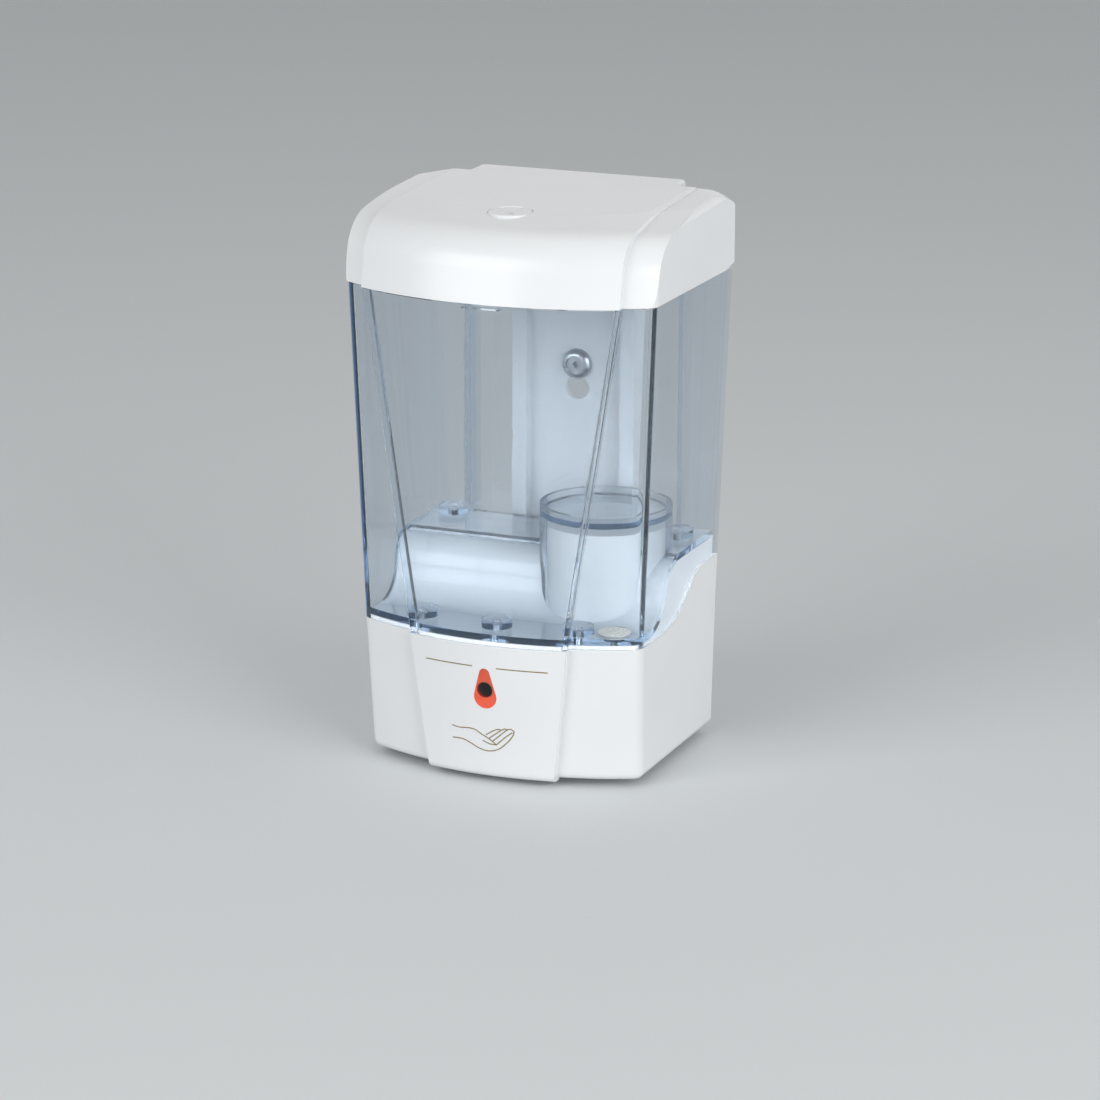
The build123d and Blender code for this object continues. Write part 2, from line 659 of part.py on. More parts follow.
with BuildPart() as tank:
    with BuildSketch(Plane.XY):
        body_outline(0, 0)
    with BuildSketch(Plane.XY.offset(TANK_TOP_Z)):
        body_outline(TANK_TOP_Z, 0)
    loft(ruled=True)
    with BuildSketch(Plane.XY):
        panel_outline(0, 0)
    with BuildSketch(Plane.XY.offset(TANK_TOP_Z)):
        panel_outline(TANK_TOP_Z, 0)
    loft(ruled=True)
    add(under_seam.part, mode=Mode.SUBTRACT)
    add(tank_hollow.part, mode=Mode.SUBTRACT)
    add(tank_underside.part, mode=Mode.SUBTRACT)
    add(tower_column.part)
    with Locations((TOWER_X, TOWER_Y, -OVER)):
        Cylinder(TOWER_RADIUS - TOWER_WALL, OVER + TOWER_TOP_Z - TOWER_WALL,
                 align=UP, mode=Mode.SUBTRACT)
    with Locations([(x, y, FLOOR_BOTTOM_LOW_Z) for x, y in BOSS_POINTS_LOW]):
        Cylinder(BOSS_RADIUS, FLOOR_THICK + BOSS_HEIGHT, align=UP)
    with Locations([(x, y, FLOOR_BOTTOM_HIGH_Z) for x, y in BOSS_POINTS_HIGH]):
        Cylinder(BOSS_RADIUS, FLOOR_THICK + BOSS_HEIGHT, align=UP)
    with Locations([(x, y, FLOOR_BOTTOM_LOW_Z) for x, y in BOSS_POINTS_LOW]
                   + [(x, y, FLOOR_BOTTOM_HIGH_Z) for x, y in BOSS_POINTS_HIGH]):
        Cylinder(SCREW_HOLE_RADIUS, FLOOR_THICK + BOSS_HEIGHT - BOSS_CAP, align=UP, mode=Mode.SUBTRACT)
    with Locations((DRAIN_X, DRAIN_Y, SPIGOT_END_Z)):
        Cylinder(SPIGOT_RADIUS, FLOOR_BOTTOM_LOW_Z + FUSE - SPIGOT_END_Z, align=UP)
    with Locations((DRAIN_X, DRAIN_Y, SPIGOT_END_Z - BARB_LENGTH)):
        Cylinder(HOSE_BORE, BARB_LENGTH + FUSE, align=UP)
        Cylinder(PORT_RADIUS, BARB_LENGTH + OVER, align=UP, mode=Mode.SUBTRACT)
    with Locations((DRAIN_X, DRAIN_Y, FLOOR_LOW_Z - STRAINER_SINK)):
        Cylinder(STRAINER_RADIUS + RUN, OVER, align=UP, mode=Mode.SUBTRACT)
    with Locations((0, CATCH_FRONT_Y, TANK_TOP_Z - CATCH_ROOT_THICK)):
        Box(CATCH_WIDTH, CATCH_POST_Y + CATCH_THICK - CATCH_FRONT_Y, CATCH_ROOT_THICK,
            align=INTO)
    with Locations((0, CATCH_POST_Y, TANK_TOP_Z - CATCH_ROOT_THICK)):
        Box(CATCH_WIDTH, CATCH_THICK, CATCH_ROOT_THICK + CATCH_RISE, align=INTO)
    with Locations((0, CATCH_POST_Y, TANK_TOP_Z + CATCH_RISE)):
        Box(CATCH_WIDTH, CATCH_REACH, CATCH_THICK, align=(Align.CENTER, Align.MIN, Align.MAX))
tank.part.label = "tank"
export_step(tank.part, "parts/tank.step")

# Base housing


def drop_outline(grow):
    """Drop shape of the sensor window, narrow and round at the top, drawn outwards by grow."""
    height = WINDOW_HIGH_Z - WINDOW_TIP_RADIUS - WINDOW_WIDE_Z
    lean = acos((WINDOW_HALF - WINDOW_TIP_RADIUS) / height)
    low = WINDOW_HALF + grow
    top = WINDOW_TIP_RADIUS + grow
    tip_z = WINDOW_WIDE_Z + height
    low_side = (low * sin(lean), WINDOW_WIDE_Z + low * cos(lean))
    top_side = (top * sin(lean), tip_z + top * cos(lean))
    with BuildLine() as lines:
        ThreePointArc((-low_side[0], low_side[1]), (0, WINDOW_WIDE_Z - low), low_side)
        Line(low_side, top_side)
        ThreePointArc(top_side, (0, tip_z + top), (-top_side[0], top_side[1]))
        Line((-top_side[0], top_side[1]), (-low_side[0], low_side[1]))
    make_face(lines.edges())


with BuildPart() as base_low:
    with BuildSketch(Plane.XY.offset(BASE_SIDE_BOTTOM_Z)):
        body_outline(BASE_SIDE_BOTTOM_Z, 0)
    with BuildSketch(Plane.XY):
        body_outline(0, 0)
    loft(ruled=True)
    fillet(base_low.edges().group_by(Axis.Z)[0], BASE_BOTTOM_ROUND)

with BuildPart() as base_panel:
    with BuildSketch(Plane.XY.offset(BASE_BOTTOM_Z)):
        panel_outline(BASE_BOTTOM_Z, 0, rounded=False)
    with BuildSketch(Plane.XY):
        panel_outline(0, 0, rounded=False)
    loft(ruled=True)
    fillet(base_panel.edges().group_by(Axis.Z)[0].sort_by(SortBy.LENGTH)[-2:].sort_by(Axis.Y)[0],
           BASE_BOTTOM_ROUND)

with BuildPart() as base_rim:
    with BuildSketch(Plane.XY.offset(SHELF_Z)):
        body_outline(SHELF_Z, RIM_INSET)
    with BuildSketch(Plane.XY):
        body_outline(0, RIM_INSET)
    loft(ruled=True)
    with BuildSketch(Plane.XY):
        body_outline(0, RIM_INSET)
    with BuildSketch(Plane.XY.offset(RIM_TOP_Z)):
        body_outline(RIM_TOP_Z, RIM_INSET)
    loft(ruled=True)
    with BuildSketch(Plane.XY.offset(SHELF_Z)):
        panel_outline(SHELF_Z, RIM_INSET)
    with BuildSketch(Plane.XY):
        panel_outline(0, RIM_INSET)
    loft(ruled=True)
    with BuildSketch(Plane.XY):
        panel_outline(0, RIM_INSET)
    with BuildSketch(Plane.XY.offset(RIM_TOP_Z)):
        panel_outline(RIM_TOP_Z, RIM_INSET)
    loft(ruled=True)
    add(under_deck_top.part, mode=Mode.INTERSECT)

with BuildPart() as base_space_low:
    with BuildSketch(Plane.XY.offset(BASE_BOTTOM_Z - FUSE)):
        body_outline(BASE_BOTTOM_Z - FUSE, BASE_WALL)
    with BuildSketch(Plane.XY.offset(SHELF_Z)):
        body_outline(SHELF_Z, BASE_WALL)
    loft(ruled=True)
    with BuildSketch(Plane.XY.offset(BASE_BOTTOM_Z - FUSE)):
        panel_outline(BASE_BOTTOM_Z - FUSE, BASE_WALL)
    with BuildSketch(Plane.XY.offset(SHELF_Z)):
        panel_outline(SHELF_Z, BASE_WALL)
    loft(ruled=True)

with BuildPart() as base_space_high:
    with BuildSketch(Plane.XY.offset(SHELF_Z - FUSE)):
        body_outline(SHELF_Z - FUSE, RIM_INSET + RIM_WALL, lobes=False)
    with BuildSketch(Plane.XY.offset(RIM_TOP_Z)):
        body_outline(RIM_TOP_Z, RIM_INSET + RIM_WALL, lobes=False)
    loft(ruled=True)
    with BuildSketch(Plane.XY.offset(SHELF_Z - FUSE)):
        panel_outline(SHELF_Z - FUSE, RIM_INSET + RIM_WALL)
    with BuildSketch(Plane.XY.offset(RIM_TOP_Z)):
        panel_outline(RIM_TOP_Z, RIM_INSET + RIM_WALL)
    loft(ruled=True)
    add(under_deck_bottom.part, mode=Mode.INTERSECT)

with BuildPart() as base_housing:
    add(base_low.part)
    with BuildSketch(Plane.XY):
        body_outline(0, 0)
    with BuildSketch(Plane.XY.offset(RIM_TOP_Z)):
        body_outline(RIM_TOP_Z, 0)
    loft(ruled=True)
    add(base_panel.part)
    add(under_base_edge.part, mode=Mode.INTERSECT)
    add(base_rim.part)
    add(base_space_low.part, mode=Mode.SUBTRACT)
    add(base_space_high.part, mode=Mode.SUBTRACT)
    with Locations((TOWER_X, TOWER_Y, DECK_LOW_Z)):
        Cylinder(SLEEVE_RADIUS, SLEEVE_TOP_Z - DECK_LOW_Z, align=UP)
    with Locations([(x, y, DECK_LOW_Z) for x, y in PUMP_EARS]):
        Cylinder(POST_RADIUS, EAR_POST_LENGTH, align=UP)
    with Locations((TOWER_X, TOWER_Y, DECK_LOW_Z)):
        Cylinder(SLEEVE_BORE, SLEEVE_TOP_Z - DECK_LOW_Z - SLEEVE_WALL, align=UP, mode=Mode.SUBTRACT)
    with BuildSketch(Plane.XY.offset(DECK_LOW_Z + RIB_LIFT)):
        with Locations((TOWER_X, TOWER_Y)):
            with PolarLocations((RIB_INNER + RIB_OUTER) / 2, RIB_COUNT, start_angle=RIB_TURN):
                Rectangle(RIB_OUTER - RIB_INNER, RIB_WIDTH)
    extrude(amount=RIB_HEIGHT)
    for x, y, z in COVER_POINTS:
        with Locations((x, y, COVER_TOP_Z + RUN)):
            Cylinder(POST_RADIUS, z - COVER_TOP_Z - RUN, align=UP)
    for x, z in BOARD_POSTS:
        with Locations(Location((x, BOARD_FRONT_Y, z), (90, 0, 0))):
            Cylinder(BOARD_POST_RADIUS, BOARD_POST_LENGTH, align=UP)
    with Locations([(x, y, DECK_LOW_Z) for x, y in PUMP_EARS]):
        Cylinder(SCREW_HOLE_RADIUS, SCREW_HOLE_DEPTH, align=UP, mode=Mode.SUBTRACT)
    with Locations([(x, y, COVER_TOP_Z) for x, y, z in COVER_POINTS]):
        Cylinder(SCREW_HOLE_RADIUS, SCREW_HOLE_DEPTH, align=UP, mode=Mode.SUBTRACT)
    for x, z in BOARD_POSTS:
        with Locations(Location((x, BOARD_FRONT_Y, z), (90, 0, 0))):
            Cylinder(BOARD_SCREW_RADIUS + RUN, BOARD_SCREW_DEPTH, align=UP, mode=Mode.SUBTRACT)
    with Locations([(x, y, DECK_LOW_Z - FUSE) for x, y in BOSS_POINTS_LOW]):
        Cylinder(SCREW_PASS_RADIUS, DECK_THICK + 2 * FUSE, align=UP, mode=Mode.SUBTRACT)
    with Locations([(x, y, DECK_HIGH_Z - FUSE) for x, y in BOSS_POINTS_HIGH]):
        Cylinder(SCREW_PASS_RADIUS, DECK_THICK + 2 * FUSE, align=UP, mode=Mode.SUBTRACT)
    with Locations((DRAIN_X, DRAIN_Y, DECK_LOW_Z - FUSE)):
        Cylinder(SPIGOT_RADIUS + SPIGOT_ROOM, DECK_THICK + 2 * FUSE, align=UP, mode=Mode.SUBTRACT)
    for x, z in BACK_SCREW_POINTS:
        with Locations(Location((x, NOTCH_Y + FUSE, z), (90, 0, 0))):
            Cylinder(SCREW_PASS_RADIUS, BACK_PASS_DEPTH, align=UP, mode=Mode.SUBTRACT)
    with BuildSketch(Plane.XZ.offset(WINDOW_CUT_START)):
        drop_outline(WINDOW_GAP)
    extrude(amount=WINDOW_CUT, mode=Mode.SUBTRACT)
base_housing.part.label = "base_housing"
export_step(base_housing.part, "parts/base_housing.step")

# Sensor window, a slice of the panel front in the drop shape
with BuildPart() as panel_skin:
    with BuildSketch(Plane.XY.offset(BASE_BOTTOM_Z)):
        panel_outline(BASE_BOTTOM_Z, -WINDOW_PROUD, rounded=False)
    with BuildSketch(Plane.XY):
        panel_outline(0, -WINDOW_PROUD, rounded=False)
    loft(ruled=True)
    with BuildSketch(Plane.XY.offset(BASE_BOTTOM_Z)):
        panel_outline(BASE_BOTTOM_Z, BASE_WALL, rounded=False)
    with BuildSketch(Plane.XY):
        panel_outline(0, BASE_WALL, rounded=False)
    loft(ruled=True, mode=Mode.SUBTRACT)

with BuildPart() as sensor_window:
    with BuildSketch(Plane.XZ.offset(WINDOW_CUT_START)):
        drop_outline(0.0)
    extrude(amount=WINDOW_CUT)
    add(panel_skin.part, mode=Mode.INTERSECT)
sensor_window.part.label = "sensor_window"
export_step(sensor_window.part, "parts/sensor_window.step")

# Lid


def lid_turned(radius, top_drop, inset):
    """Solid of revolution that gives the lid its rounded front."""
    lean = atan(LID_LEAN)
    end = atan(LID_DOME_SLOPE)
    rho = LID_FRONT_ROUND - inset
    low_z = LID_LOW_Z - LID_SKIRT
    r0 = radius - inset
    rb = r0 - LID_LEAN * LID_LEAN_HEIGHT
    zb = LID_LOW_Z + LID_LEAN_HEIGHT - top_drop
    middle = (pi / 2 - end + lean) / 2
    rm = rb - rho * cos(lean) + rho * cos(middle)
    zm = zb - rho * sin(lean) + rho * sin(middle)
    rc = rb - rho * cos(lean) + rho * sin(end)
    zc = zb - rho * sin(lean) + rho * cos(end)
    zd = zc + LID_DOME_SLOPE * (rc - LID_DOME_END)
    y = LID_AXIS_Y
    with BuildPart() as turned:
        with BuildSketch(Plane.YZ):
            with BuildLine() as lines:
                Polyline((y, low_z), (y - r0 - LID_SKIRT * LID_LEAN, low_z), (y - rb, zb))
                ThreePointArc((y - rb, zb), (y - rm, zm), (y - rc, zc))
                Polyline((y - rc, zc), (y - LID_DOME_END, zd), (y, zd), (y, low_z))
            make_face(lines.edges())
        revolve(axis=Axis((0, y, 0), (0, 0, 1)), revolution_arc=360)
    return turned.part


def lid_side(rear_y, top_z, rounding, low_z):
    """Side view of the lid under its sloping top, rounded at the rear, as a bar across the width."""
    far = -3 * OVER
    with BuildPart() as bar:
        with BuildSketch(Plane.YZ):
            with BuildLine() as lines:
                Polyline((far, low_z), (rear_y, low_z), (rear_y, top_z + LID_SLOPE * rear_y),
                         (far, top_z + LID_SLOPE * far), (far, low_z))
            side = make_face(lines.edges())
            fillet(side.vertices().sort_by(Axis.Y)[-1], rounding)
        extrude(amount=2 * OVER, both=True)
    return bar.part


def lid_block(inset, low_z):
    """Outer shape of the lid, drawn inwards by inset."""
    shoulder_turned = lid_turned(LID_SHOULDER_RADIUS, LID_PANEL_RISE, inset)
    panel_turned = lid_turned(LID_PANEL_RADIUS, 0.0, inset)
    x1 = LID_HALF - inset
    radius = LID_SHOULDER_RADIUS - inset
    front = LID_AXIS_Y - radius
    y1 = arc_y(x1, front, radius)
    rear = REAR_Y - inset
    far = -3 * OVER
    slope = Vector(0, 1, LID_SLOPE)
    height = LID_TOP_Z + LID_LIFT - low_z
    out = cos(radians(LID_CORNER_TURN))
    back = sin(radians(LID_CORNER_TURN))
    roll = LID_CORNER_ROUND - inset
    roll_x = LID_HALF - LID_CORNER_REACH * out
    roll_y = REAR_Y - LID_CORNER_REACH * back
    roll_z = LID_TOP_Z + LID_SLOPE * roll_y - LID_PANEL_RISE - inset
    shoulder_side = lid_side(rear, LID_TOP_Z - LID_PANEL_RISE - inset, LID_REAR_ROUND - inset, low_z)
    panel_side = lid_side(LID_PANEL_END_Y - inset, LID_TOP_Z - inset, LID_REAR_ROUND - inset, low_z)
    spine_side = lid_side(LID_SPINE_Y - inset, LID_TOP_Z - inset, LID_SPINE_ROUND, low_z)
    with BuildPart() as shoulder:
        with BuildSketch(Plane.XY.offset(low_z)):
            with BuildLine() as lines:
                ThreePointArc((-x1, y1), (0, front), (x1, y1))
                Polyline((x1, y1), (x1, rear), (-x1, rear), (-x1, y1))
            plan = make_face(lines.edges())
            corners = [v for v in plan.vertices() if abs(v.Y - y1) < TINY]
            fillet(corners, FRONT_CORNER_ROUND - CORNER_SHRINK * inset)
        extrude(amount=height)
        top = LID_TOP_Z + LID_SLOPE * far - LID_PANEL_RISE - inset
        with BuildSketch(Plane.XZ.offset(-far)):
            with Locations((0, top)):
                section = Rectangle(2 * x1, 2 * OVER, align=(Align.CENTER, Align.MAX))
            fillet(section.vertices().sort_by(Axis.Y)[-2:], LID_SIDE_ROUND - CORNER_SHRINK * inset)
        extrude(amount=4 * OVER, dir=slope, mode=Mode.INTERSECT)
        for side in (-1, 1):
            corner = Plane(origin=(side * roll_x, roll_y, roll_z),
                           x_dir=(side * out, back, LID_SLOPE * back),
                           z_dir=(back, -side * out, -side * LID_SLOPE * out))
            with BuildSketch(corner):
                with BuildLine() as lines:
                    Polyline((0, 0), (-4 * OVER, 0), (-4 * OVER, -4 * OVER), (roll, -4 * OVER), (roll, -roll))
                    CenterArc((0, -roll), roll, 0, 90)
                make_face(lines.edges())
            extrude(amount=4 * OVER, both=True, mode=Mode.INTERSECT)
        add(shoulder_side, mode=Mode.INTERSECT)
        add(shoulder_turned, mode=Mode.INTERSECT)
    xf = LID_PANEL_HALF_FRONT - inset
    xr = LID_PANEL_HALF_REAR - inset
    xs = LID_SPINE_HALF - inset
    with BuildPart() as raised:
        with BuildSketch(Plane.XY.offset(low_z)):
            with BuildLine() as lines:
                Polyline((-xf, far), (xf, far), (xf, front), (xr, rear), (-xr, rear), (-xf, front),
                         (-xf, far))
            make_face(lines.edges())
        extrude(amount=height)
        top = LID_TOP_Z + LID_SLOPE * far - inset
        with BuildSketch(Plane.XZ.offset(-far)):
            with BuildLine() as lines:
                Polyline((-xf, top - 2 * OVER), (xf, top - 2 * OVER), (xf, top - LID_PANEL_RISE),
                         (xf - LID_BEVEL, top), (LID_BEVEL - xf, top), (-xf, top - LID_PANEL_RISE),
                         (-xf, top - 2 * OVER))
            make_face(lines.edges())
        extrude(amount=4 * OVER, dir=slope, mode=Mode.INTERSECT)
        add(panel_side, mode=Mode.INTERSECT)
        add(panel_turned, mode=Mode.INTERSECT)
    with BuildPart() as spine:
        with BuildSketch(Plane.XZ):
            with Locations((0, LID_TOP_Z - inset)):
                back = Rectangle(2 * xs, LID_TOP_Z - inset - low_z, align=(Align.CENTER, Align.MAX))
            fillet(back.vertices().sort_by(Axis.Y)[-2:], LID_SPINE_ROUND)
        extrude(amount=OVER)
        add(spine_side, mode=Mode.INTERSECT)
    with BuildPart() as block:
        add(shoulder.part)
        add(raised.part)
        add(spine.part)
    return block.part


lid_outer = lid_block(0.0, LID_LOW_Z)
lid_inner = lid_block(LID_WALL, LID_LOW_Z - LID_WALL)

with BuildPart() as lid:
    add(lid_outer)
    add(lid_inner, mode=Mode.SUBTRACT)
    with Locations((0, NOTCH_Y - TANK_WALL - HINGE_ROOM, LID_LOW_Z - LID_REAR_LIFT)):
        Box(2 * NOTCH_HALF, OVER, HINGE_Z + EAR_RADIUS + HINGE_ROOM - LID_LOW_Z,
            align=INTO, mode=Mode.SUBTRACT)
    with BuildSketch(Plane.YZ):
        with BuildLine() as lines:
            Polyline((LID_LIFT_Y, LID_LOW_Z), (REAR_Y, LID_LOW_Z + LID_REAR_LIFT),
                     (OVER, LID_LOW_Z + LID_REAR_LIFT), (OVER, LID_LOW_Z - LID_REAR_LIFT),
                     (LID_LIFT_Y, LID_LOW_Z - LID_REAR_LIFT), (LID_LIFT_Y, LID_LOW_Z))
        make_face(lines.edges())
    extrude(amount=2 * OVER, both=True, mode=Mode.SUBTRACT)
    for side in (-1, 1):
        with BuildSketch(Plane.YZ.offset(side * EAR_X)):
            with Locations((HINGE_Y, HINGE_Z)):
                Circle(EAR_RADIUS)
                Rectangle(2 * EAR_RADIUS, EAR_RADIUS + LID_WALL, align=(Align.CENTER, Align.MIN))
        extrude(amount=EAR_HALF, both=True)
        with BuildSketch(Plane.YZ.offset(side * EAR_X)):
            with Locations((HINGE_Y, HINGE_Z)):
                Circle(PIN_RADIUS + SNUG)
        extrude(amount=2 * EAR_HALF, both=True, mode=Mode.SUBTRACT)
    with Locations((0, LOCK_Y, LOCK_SEAT_Z - LOCK_FLOOR)):
        Cylinder(LOCK_RADIUS + LOCK_WALL, LOCK_DEPTH, align=UP)
    with Locations((0, LOCK_Y, LOCK_SEAT_Z)):
        Cylinder(LOCK_RADIUS + LOCK_GAP, OVER, align=UP, mode=Mode.SUBTRACT)
        Cylinder(STEM_RADIUS + RUN, 3 * LOCK_FLOOR, mode=Mode.SUBTRACT)
lid.part.label = "lid"
export_step(lid.part, "parts/lid.step")

with BuildPart() as lock_plug:
    with Locations((0, LOCK_Y, LOCK_SEAT_Z + RUN)):
        Cylinder(LOCK_RADIUS, LOCK_DEPTH - RUN, align=UP)
    fillet(lock_plug.edges().group_by(Axis.Z)[-1], LOCK_EDGE_ROUND)
    with Locations((0, LOCK_Y, CAM_TOP_Z)):
        Cylinder(STEM_RADIUS, LOCK_SEAT_Z + 2 * RUN - CAM_TOP_Z, align=UP)
        Cylinder(STEM_END_RADIUS, CAM_THICK, align=DOWN)
    with Locations((0, LOCK_Y, CAM_TOP_Z - CAM_THICK)):
        Cylinder(LOCK_SCREW_RADIUS + RUN, LOCK_SCREW_LENGTH + RUN, align=UP, mode=Mode.SUBTRACT)
    with Locations((0, LOCK_Y, LOCK_TOP_Z + LOCK_DISH_RADIUS - LOCK_DISH_DEPTH)):
        Sphere(LOCK_DISH_RADIUS, mode=Mode.SUBTRACT)
    with BuildSketch(Plane.XY.offset(LOCK_TOP_Z)):
        with Locations((0, LOCK_Y)):
            RegularPolygon(LOCK_KEY_RADIUS, LOCK_KEY_SIDES)
    extrude(amount=-LOCK_KEY_DEPTH, mode=Mode.SUBTRACT)
lock_plug.part.label = "lock_plug"
export_step(lock_plug.part, "parts/lock_plug.step")

with BuildPart() as lock_ring:
    with Locations((0, LOCK_Y, LOCK_SEAT_Z - LOCK_FLOOR - RUN)):
        Cylinder(LOCK_RING_RADIUS, LOCK_RING_THICK, align=DOWN)
        Cylinder(STEM_RADIUS + SNUG, LOCK_RING_THICK, align=DOWN, mode=Mode.SUBTRACT)
lock_ring.part.label = "lock_ring"
export_step(lock_ring.part, "parts/lock_ring.step")

with BuildPart() as lock_cam:
    with BuildSketch(Plane.XY.offset(CAM_TOP_Z - CAM_THICK)):
        with Locations((0, LOCK_Y)):
            Circle(CAM_HUB_RADIUS)
            Rectangle(CAM_LENGTH, CAM_WIDTH, align=(Align.MIN, Align.CENTER))
            Circle(STEM_END_RADIUS + SNUG, mode=Mode.SUBTRACT)
    extrude(amount=CAM_THICK - SNUG)
lock_cam.part.label = "lock_cam"
export_step(lock_cam.part, "parts/lock_cam.step")

with BuildPart() as lock_screw:
    with Locations((0, LOCK_Y, CAM_TOP_Z - CAM_THICK - SNUG)):
        Cylinder(LOCK_SCREW_HEAD, LOCK_SCREW_HEAD_HEIGHT, align=DOWN)
        Cylinder(LOCK_SCREW_RADIUS, LOCK_SCREW_LENGTH, align=UP)
    with Locations((0, LOCK_Y, CAM_TOP_Z - CAM_THICK - SNUG - LOCK_SCREW_HEAD_HEIGHT)):
        Box(*LOCK_SCREW_SLOT, align=UP, mode=Mode.SUBTRACT)
lock_screw.part.label = "lock_screw"
export_step(lock_screw.part, "parts/lock_screw.step")

with BuildPart() as hinge_pins:
    for side in (-1, 1):
        with BuildSketch(Plane.YZ.offset(side * PIN_START)):
            with Locations((HINGE_Y, HINGE_Z)):
                Circle(PIN_RADIUS)
        extrude(amount=side * PIN_LENGTH)
hinge_pins.part.label = "hinge_pins"
export_step(hinge_pins.part, "parts/hinge_pins.step")

# Back plate with its spine
with BuildPart() as back_plate:
    with BuildSketch(Plane.XZ):
        with Locations((0, (PLATE_LOW_Z + PLATE_HIGH_Z) / 2)):
            RectangleRounded(2 * PLATE_HALF, PLATE_HIGH_Z - PLATE_LOW_Z, PLATE_ROUND)
    extrude(amount=PLATE_DEPTH)
    with BuildSketch(Plane.XZ.offset(PLATE_THICK)):
        with Locations((0, (PLATE_LOW_Z + PLATE_HIGH_Z) / 2)):
            Rectangle(2 * (PLATE_HALF - PLATE_WALL), PLATE_HIGH_Z - PLATE_LOW_Z - 2 * PLATE_WALL)
    extrude(amount=PLATE_DEPTH, mode=Mode.SUBTRACT)
    for x, z in BACK_SCREW_POINTS:
        with Locations(Location((x, -PLATE_THICK + PLATE_BITE, z), (90, 0, 0))):
            Cylinder(BACK_POST_RADIUS, PLATE_DEPTH - PLATE_THICK + PLATE_BITE, align=UP)
    for side in (-1, 1):
        with Locations((side * (SPINE_HALF - SPINE_FLANGE / 2), SPINE_FRONT_Y, SPINE_LOW_Z)):
            Box(SPINE_FLANGE, -SPINE_FRONT_Y, SPINE_TOP_Z - SPINE_LOW_Z,
                align=INTO)
        with BuildSketch(Plane.YZ.offset(side * KNUCKLE_X)):
            with Locations((HINGE_Y, HINGE_Z)):
                Circle(EAR_RADIUS)
                Rectangle(2 * EAR_RADIUS, KNUCKLE_HEIGHT + SPINE_ROOT, align=(Align.CENTER, Align.MAX))
        extrude(amount=KNUCKLE_HALF, both=True)
        with BuildSketch(Plane.YZ.offset(side * KNUCKLE_X)):
            with Locations((HINGE_Y, HINGE_Z)):
                Circle(PIN_RADIUS + RUN)
        extrude(amount=KNUCKLE_HALF + FUSE, both=True, mode=Mode.SUBTRACT)
    with Locations((0, SPINE_PLATE_Y, SPINE_LOW_Z)):
        Box(2 * SPINE_HALF - 2 * SPINE_FLANGE + FUSE, SPINE_PLATE_THICK, SPINE_TOP_Z - SPINE_LOW_Z,
            align=INTO)
    with Locations((0, SPINE_FRONT_Y, SPINE_LOW_Z)):
        Box(2 * SPINE_HALF - FUSE, -SPINE_FRONT_Y - TINY, SPINE_ROOT, align=INTO)
    for x, z in BACK_SCREW_POINTS:
        with Locations(Location((x, -PLATE_THICK - FUSE, z), (90, 0, 0))):
            Cylinder(SCREW_HOLE_RADIUS, PLATE_DEPTH, align=UP, mode=Mode.SUBTRACT)
    with BuildSketch(Plane.XZ.offset(-FUSE)):
        with Locations((0, KEYHOLE_Z)):
            Circle(KEYHOLE_RADIUS)
            Rectangle(2 * SLOT_HALF, SCREW_SEAT_Z - KEYHOLE_Z, align=(Align.CENTER, Align.MIN))
        with Locations((0, SCREW_SEAT_Z)):
            Circle(SLOT_HALF)
    extrude(amount=KEYHOLE_CUT, mode=Mode.SUBTRACT)
back_plate.part.label = "back_plate"
export_step(back_plate.part, "parts/back_plate.step")

with BuildPart() as wall_screw:
    with BuildSketch(Plane.YZ):
        with BuildLine():
            Polyline((WALL_SCREW_Y, SCREW_SEAT_Z), (WALL_SCREW_Y, SCREW_SEAT_Z + WALL_SCREW_HEAD),
                     (WALL_SCREW_Y - WALL_SCREW_RIM, SCREW_SEAT_Z + WALL_SCREW_HEAD))
            ThreePointArc((WALL_SCREW_Y - WALL_SCREW_RIM, SCREW_SEAT_Z + WALL_SCREW_HEAD),
                          (WALL_SCREW_Y - WALL_SCREW_MID_RISE, SCREW_SEAT_Z + WALL_SCREW_MID),
                          (WALL_SCREW_Y - WALL_SCREW_RISE, SCREW_SEAT_Z + WALL_SCREW_CUP))
            Polyline((WALL_SCREW_Y - WALL_SCREW_RISE, SCREW_SEAT_Z + WALL_SCREW_CUP),
                     (WALL_SCREW_CUP_Y, SCREW_SEAT_Z + WALL_SCREW_CUP),
                     (WALL_SCREW_CUP_Y, SCREW_SEAT_Z),
                     (WALL_SCREW_Y, SCREW_SEAT_Z))
        make_face()
    revolve(axis=Axis((0, 0, SCREW_SEAT_Z), (0, 1, 0)))
    with BuildSketch(Plane.XZ.offset(-WALL_SCREW_Y)):
        with Locations((0, SCREW_SEAT_Z)):
            Circle(WALL_SCREW_RADIUS)
    extrude(amount=-WALL_SCREW_LENGTH)
    with BuildSketch(Plane.XZ.offset(-WALL_SCREW_CUP_Y)):
        with Locations((0, SCREW_SEAT_Z)):
            Circle(WALL_SCREW_SOCKET)
    extrude(amount=-WALL_SCREW_SOCKET_DEPTH, mode=Mode.SUBTRACT)
wall_screw.part.label = "wall_screw"
export_step(wall_screw.part, "parts/wall_screw.step")

with BuildPart() as back_screws:
    for x, z in BACK_SCREW_POINTS:
        with Locations(Location((x, NOTCH_Y - BASE_WALL - RUN, z), (-90, 0, 0))):
            Cylinder(SCREW_RADIUS, SCREW_LENGTH, align=UP)
        with Locations(Location((x, NOTCH_Y - BASE_WALL - RUN, z), (90, 0, 0))):
            Cylinder(SCREW_HEAD_RADIUS, SCREW_HEAD_HEIGHT, align=UP)
back_screws.part.label = "back_screws"
export_step(back_screws.part, "parts/back_screws.step")

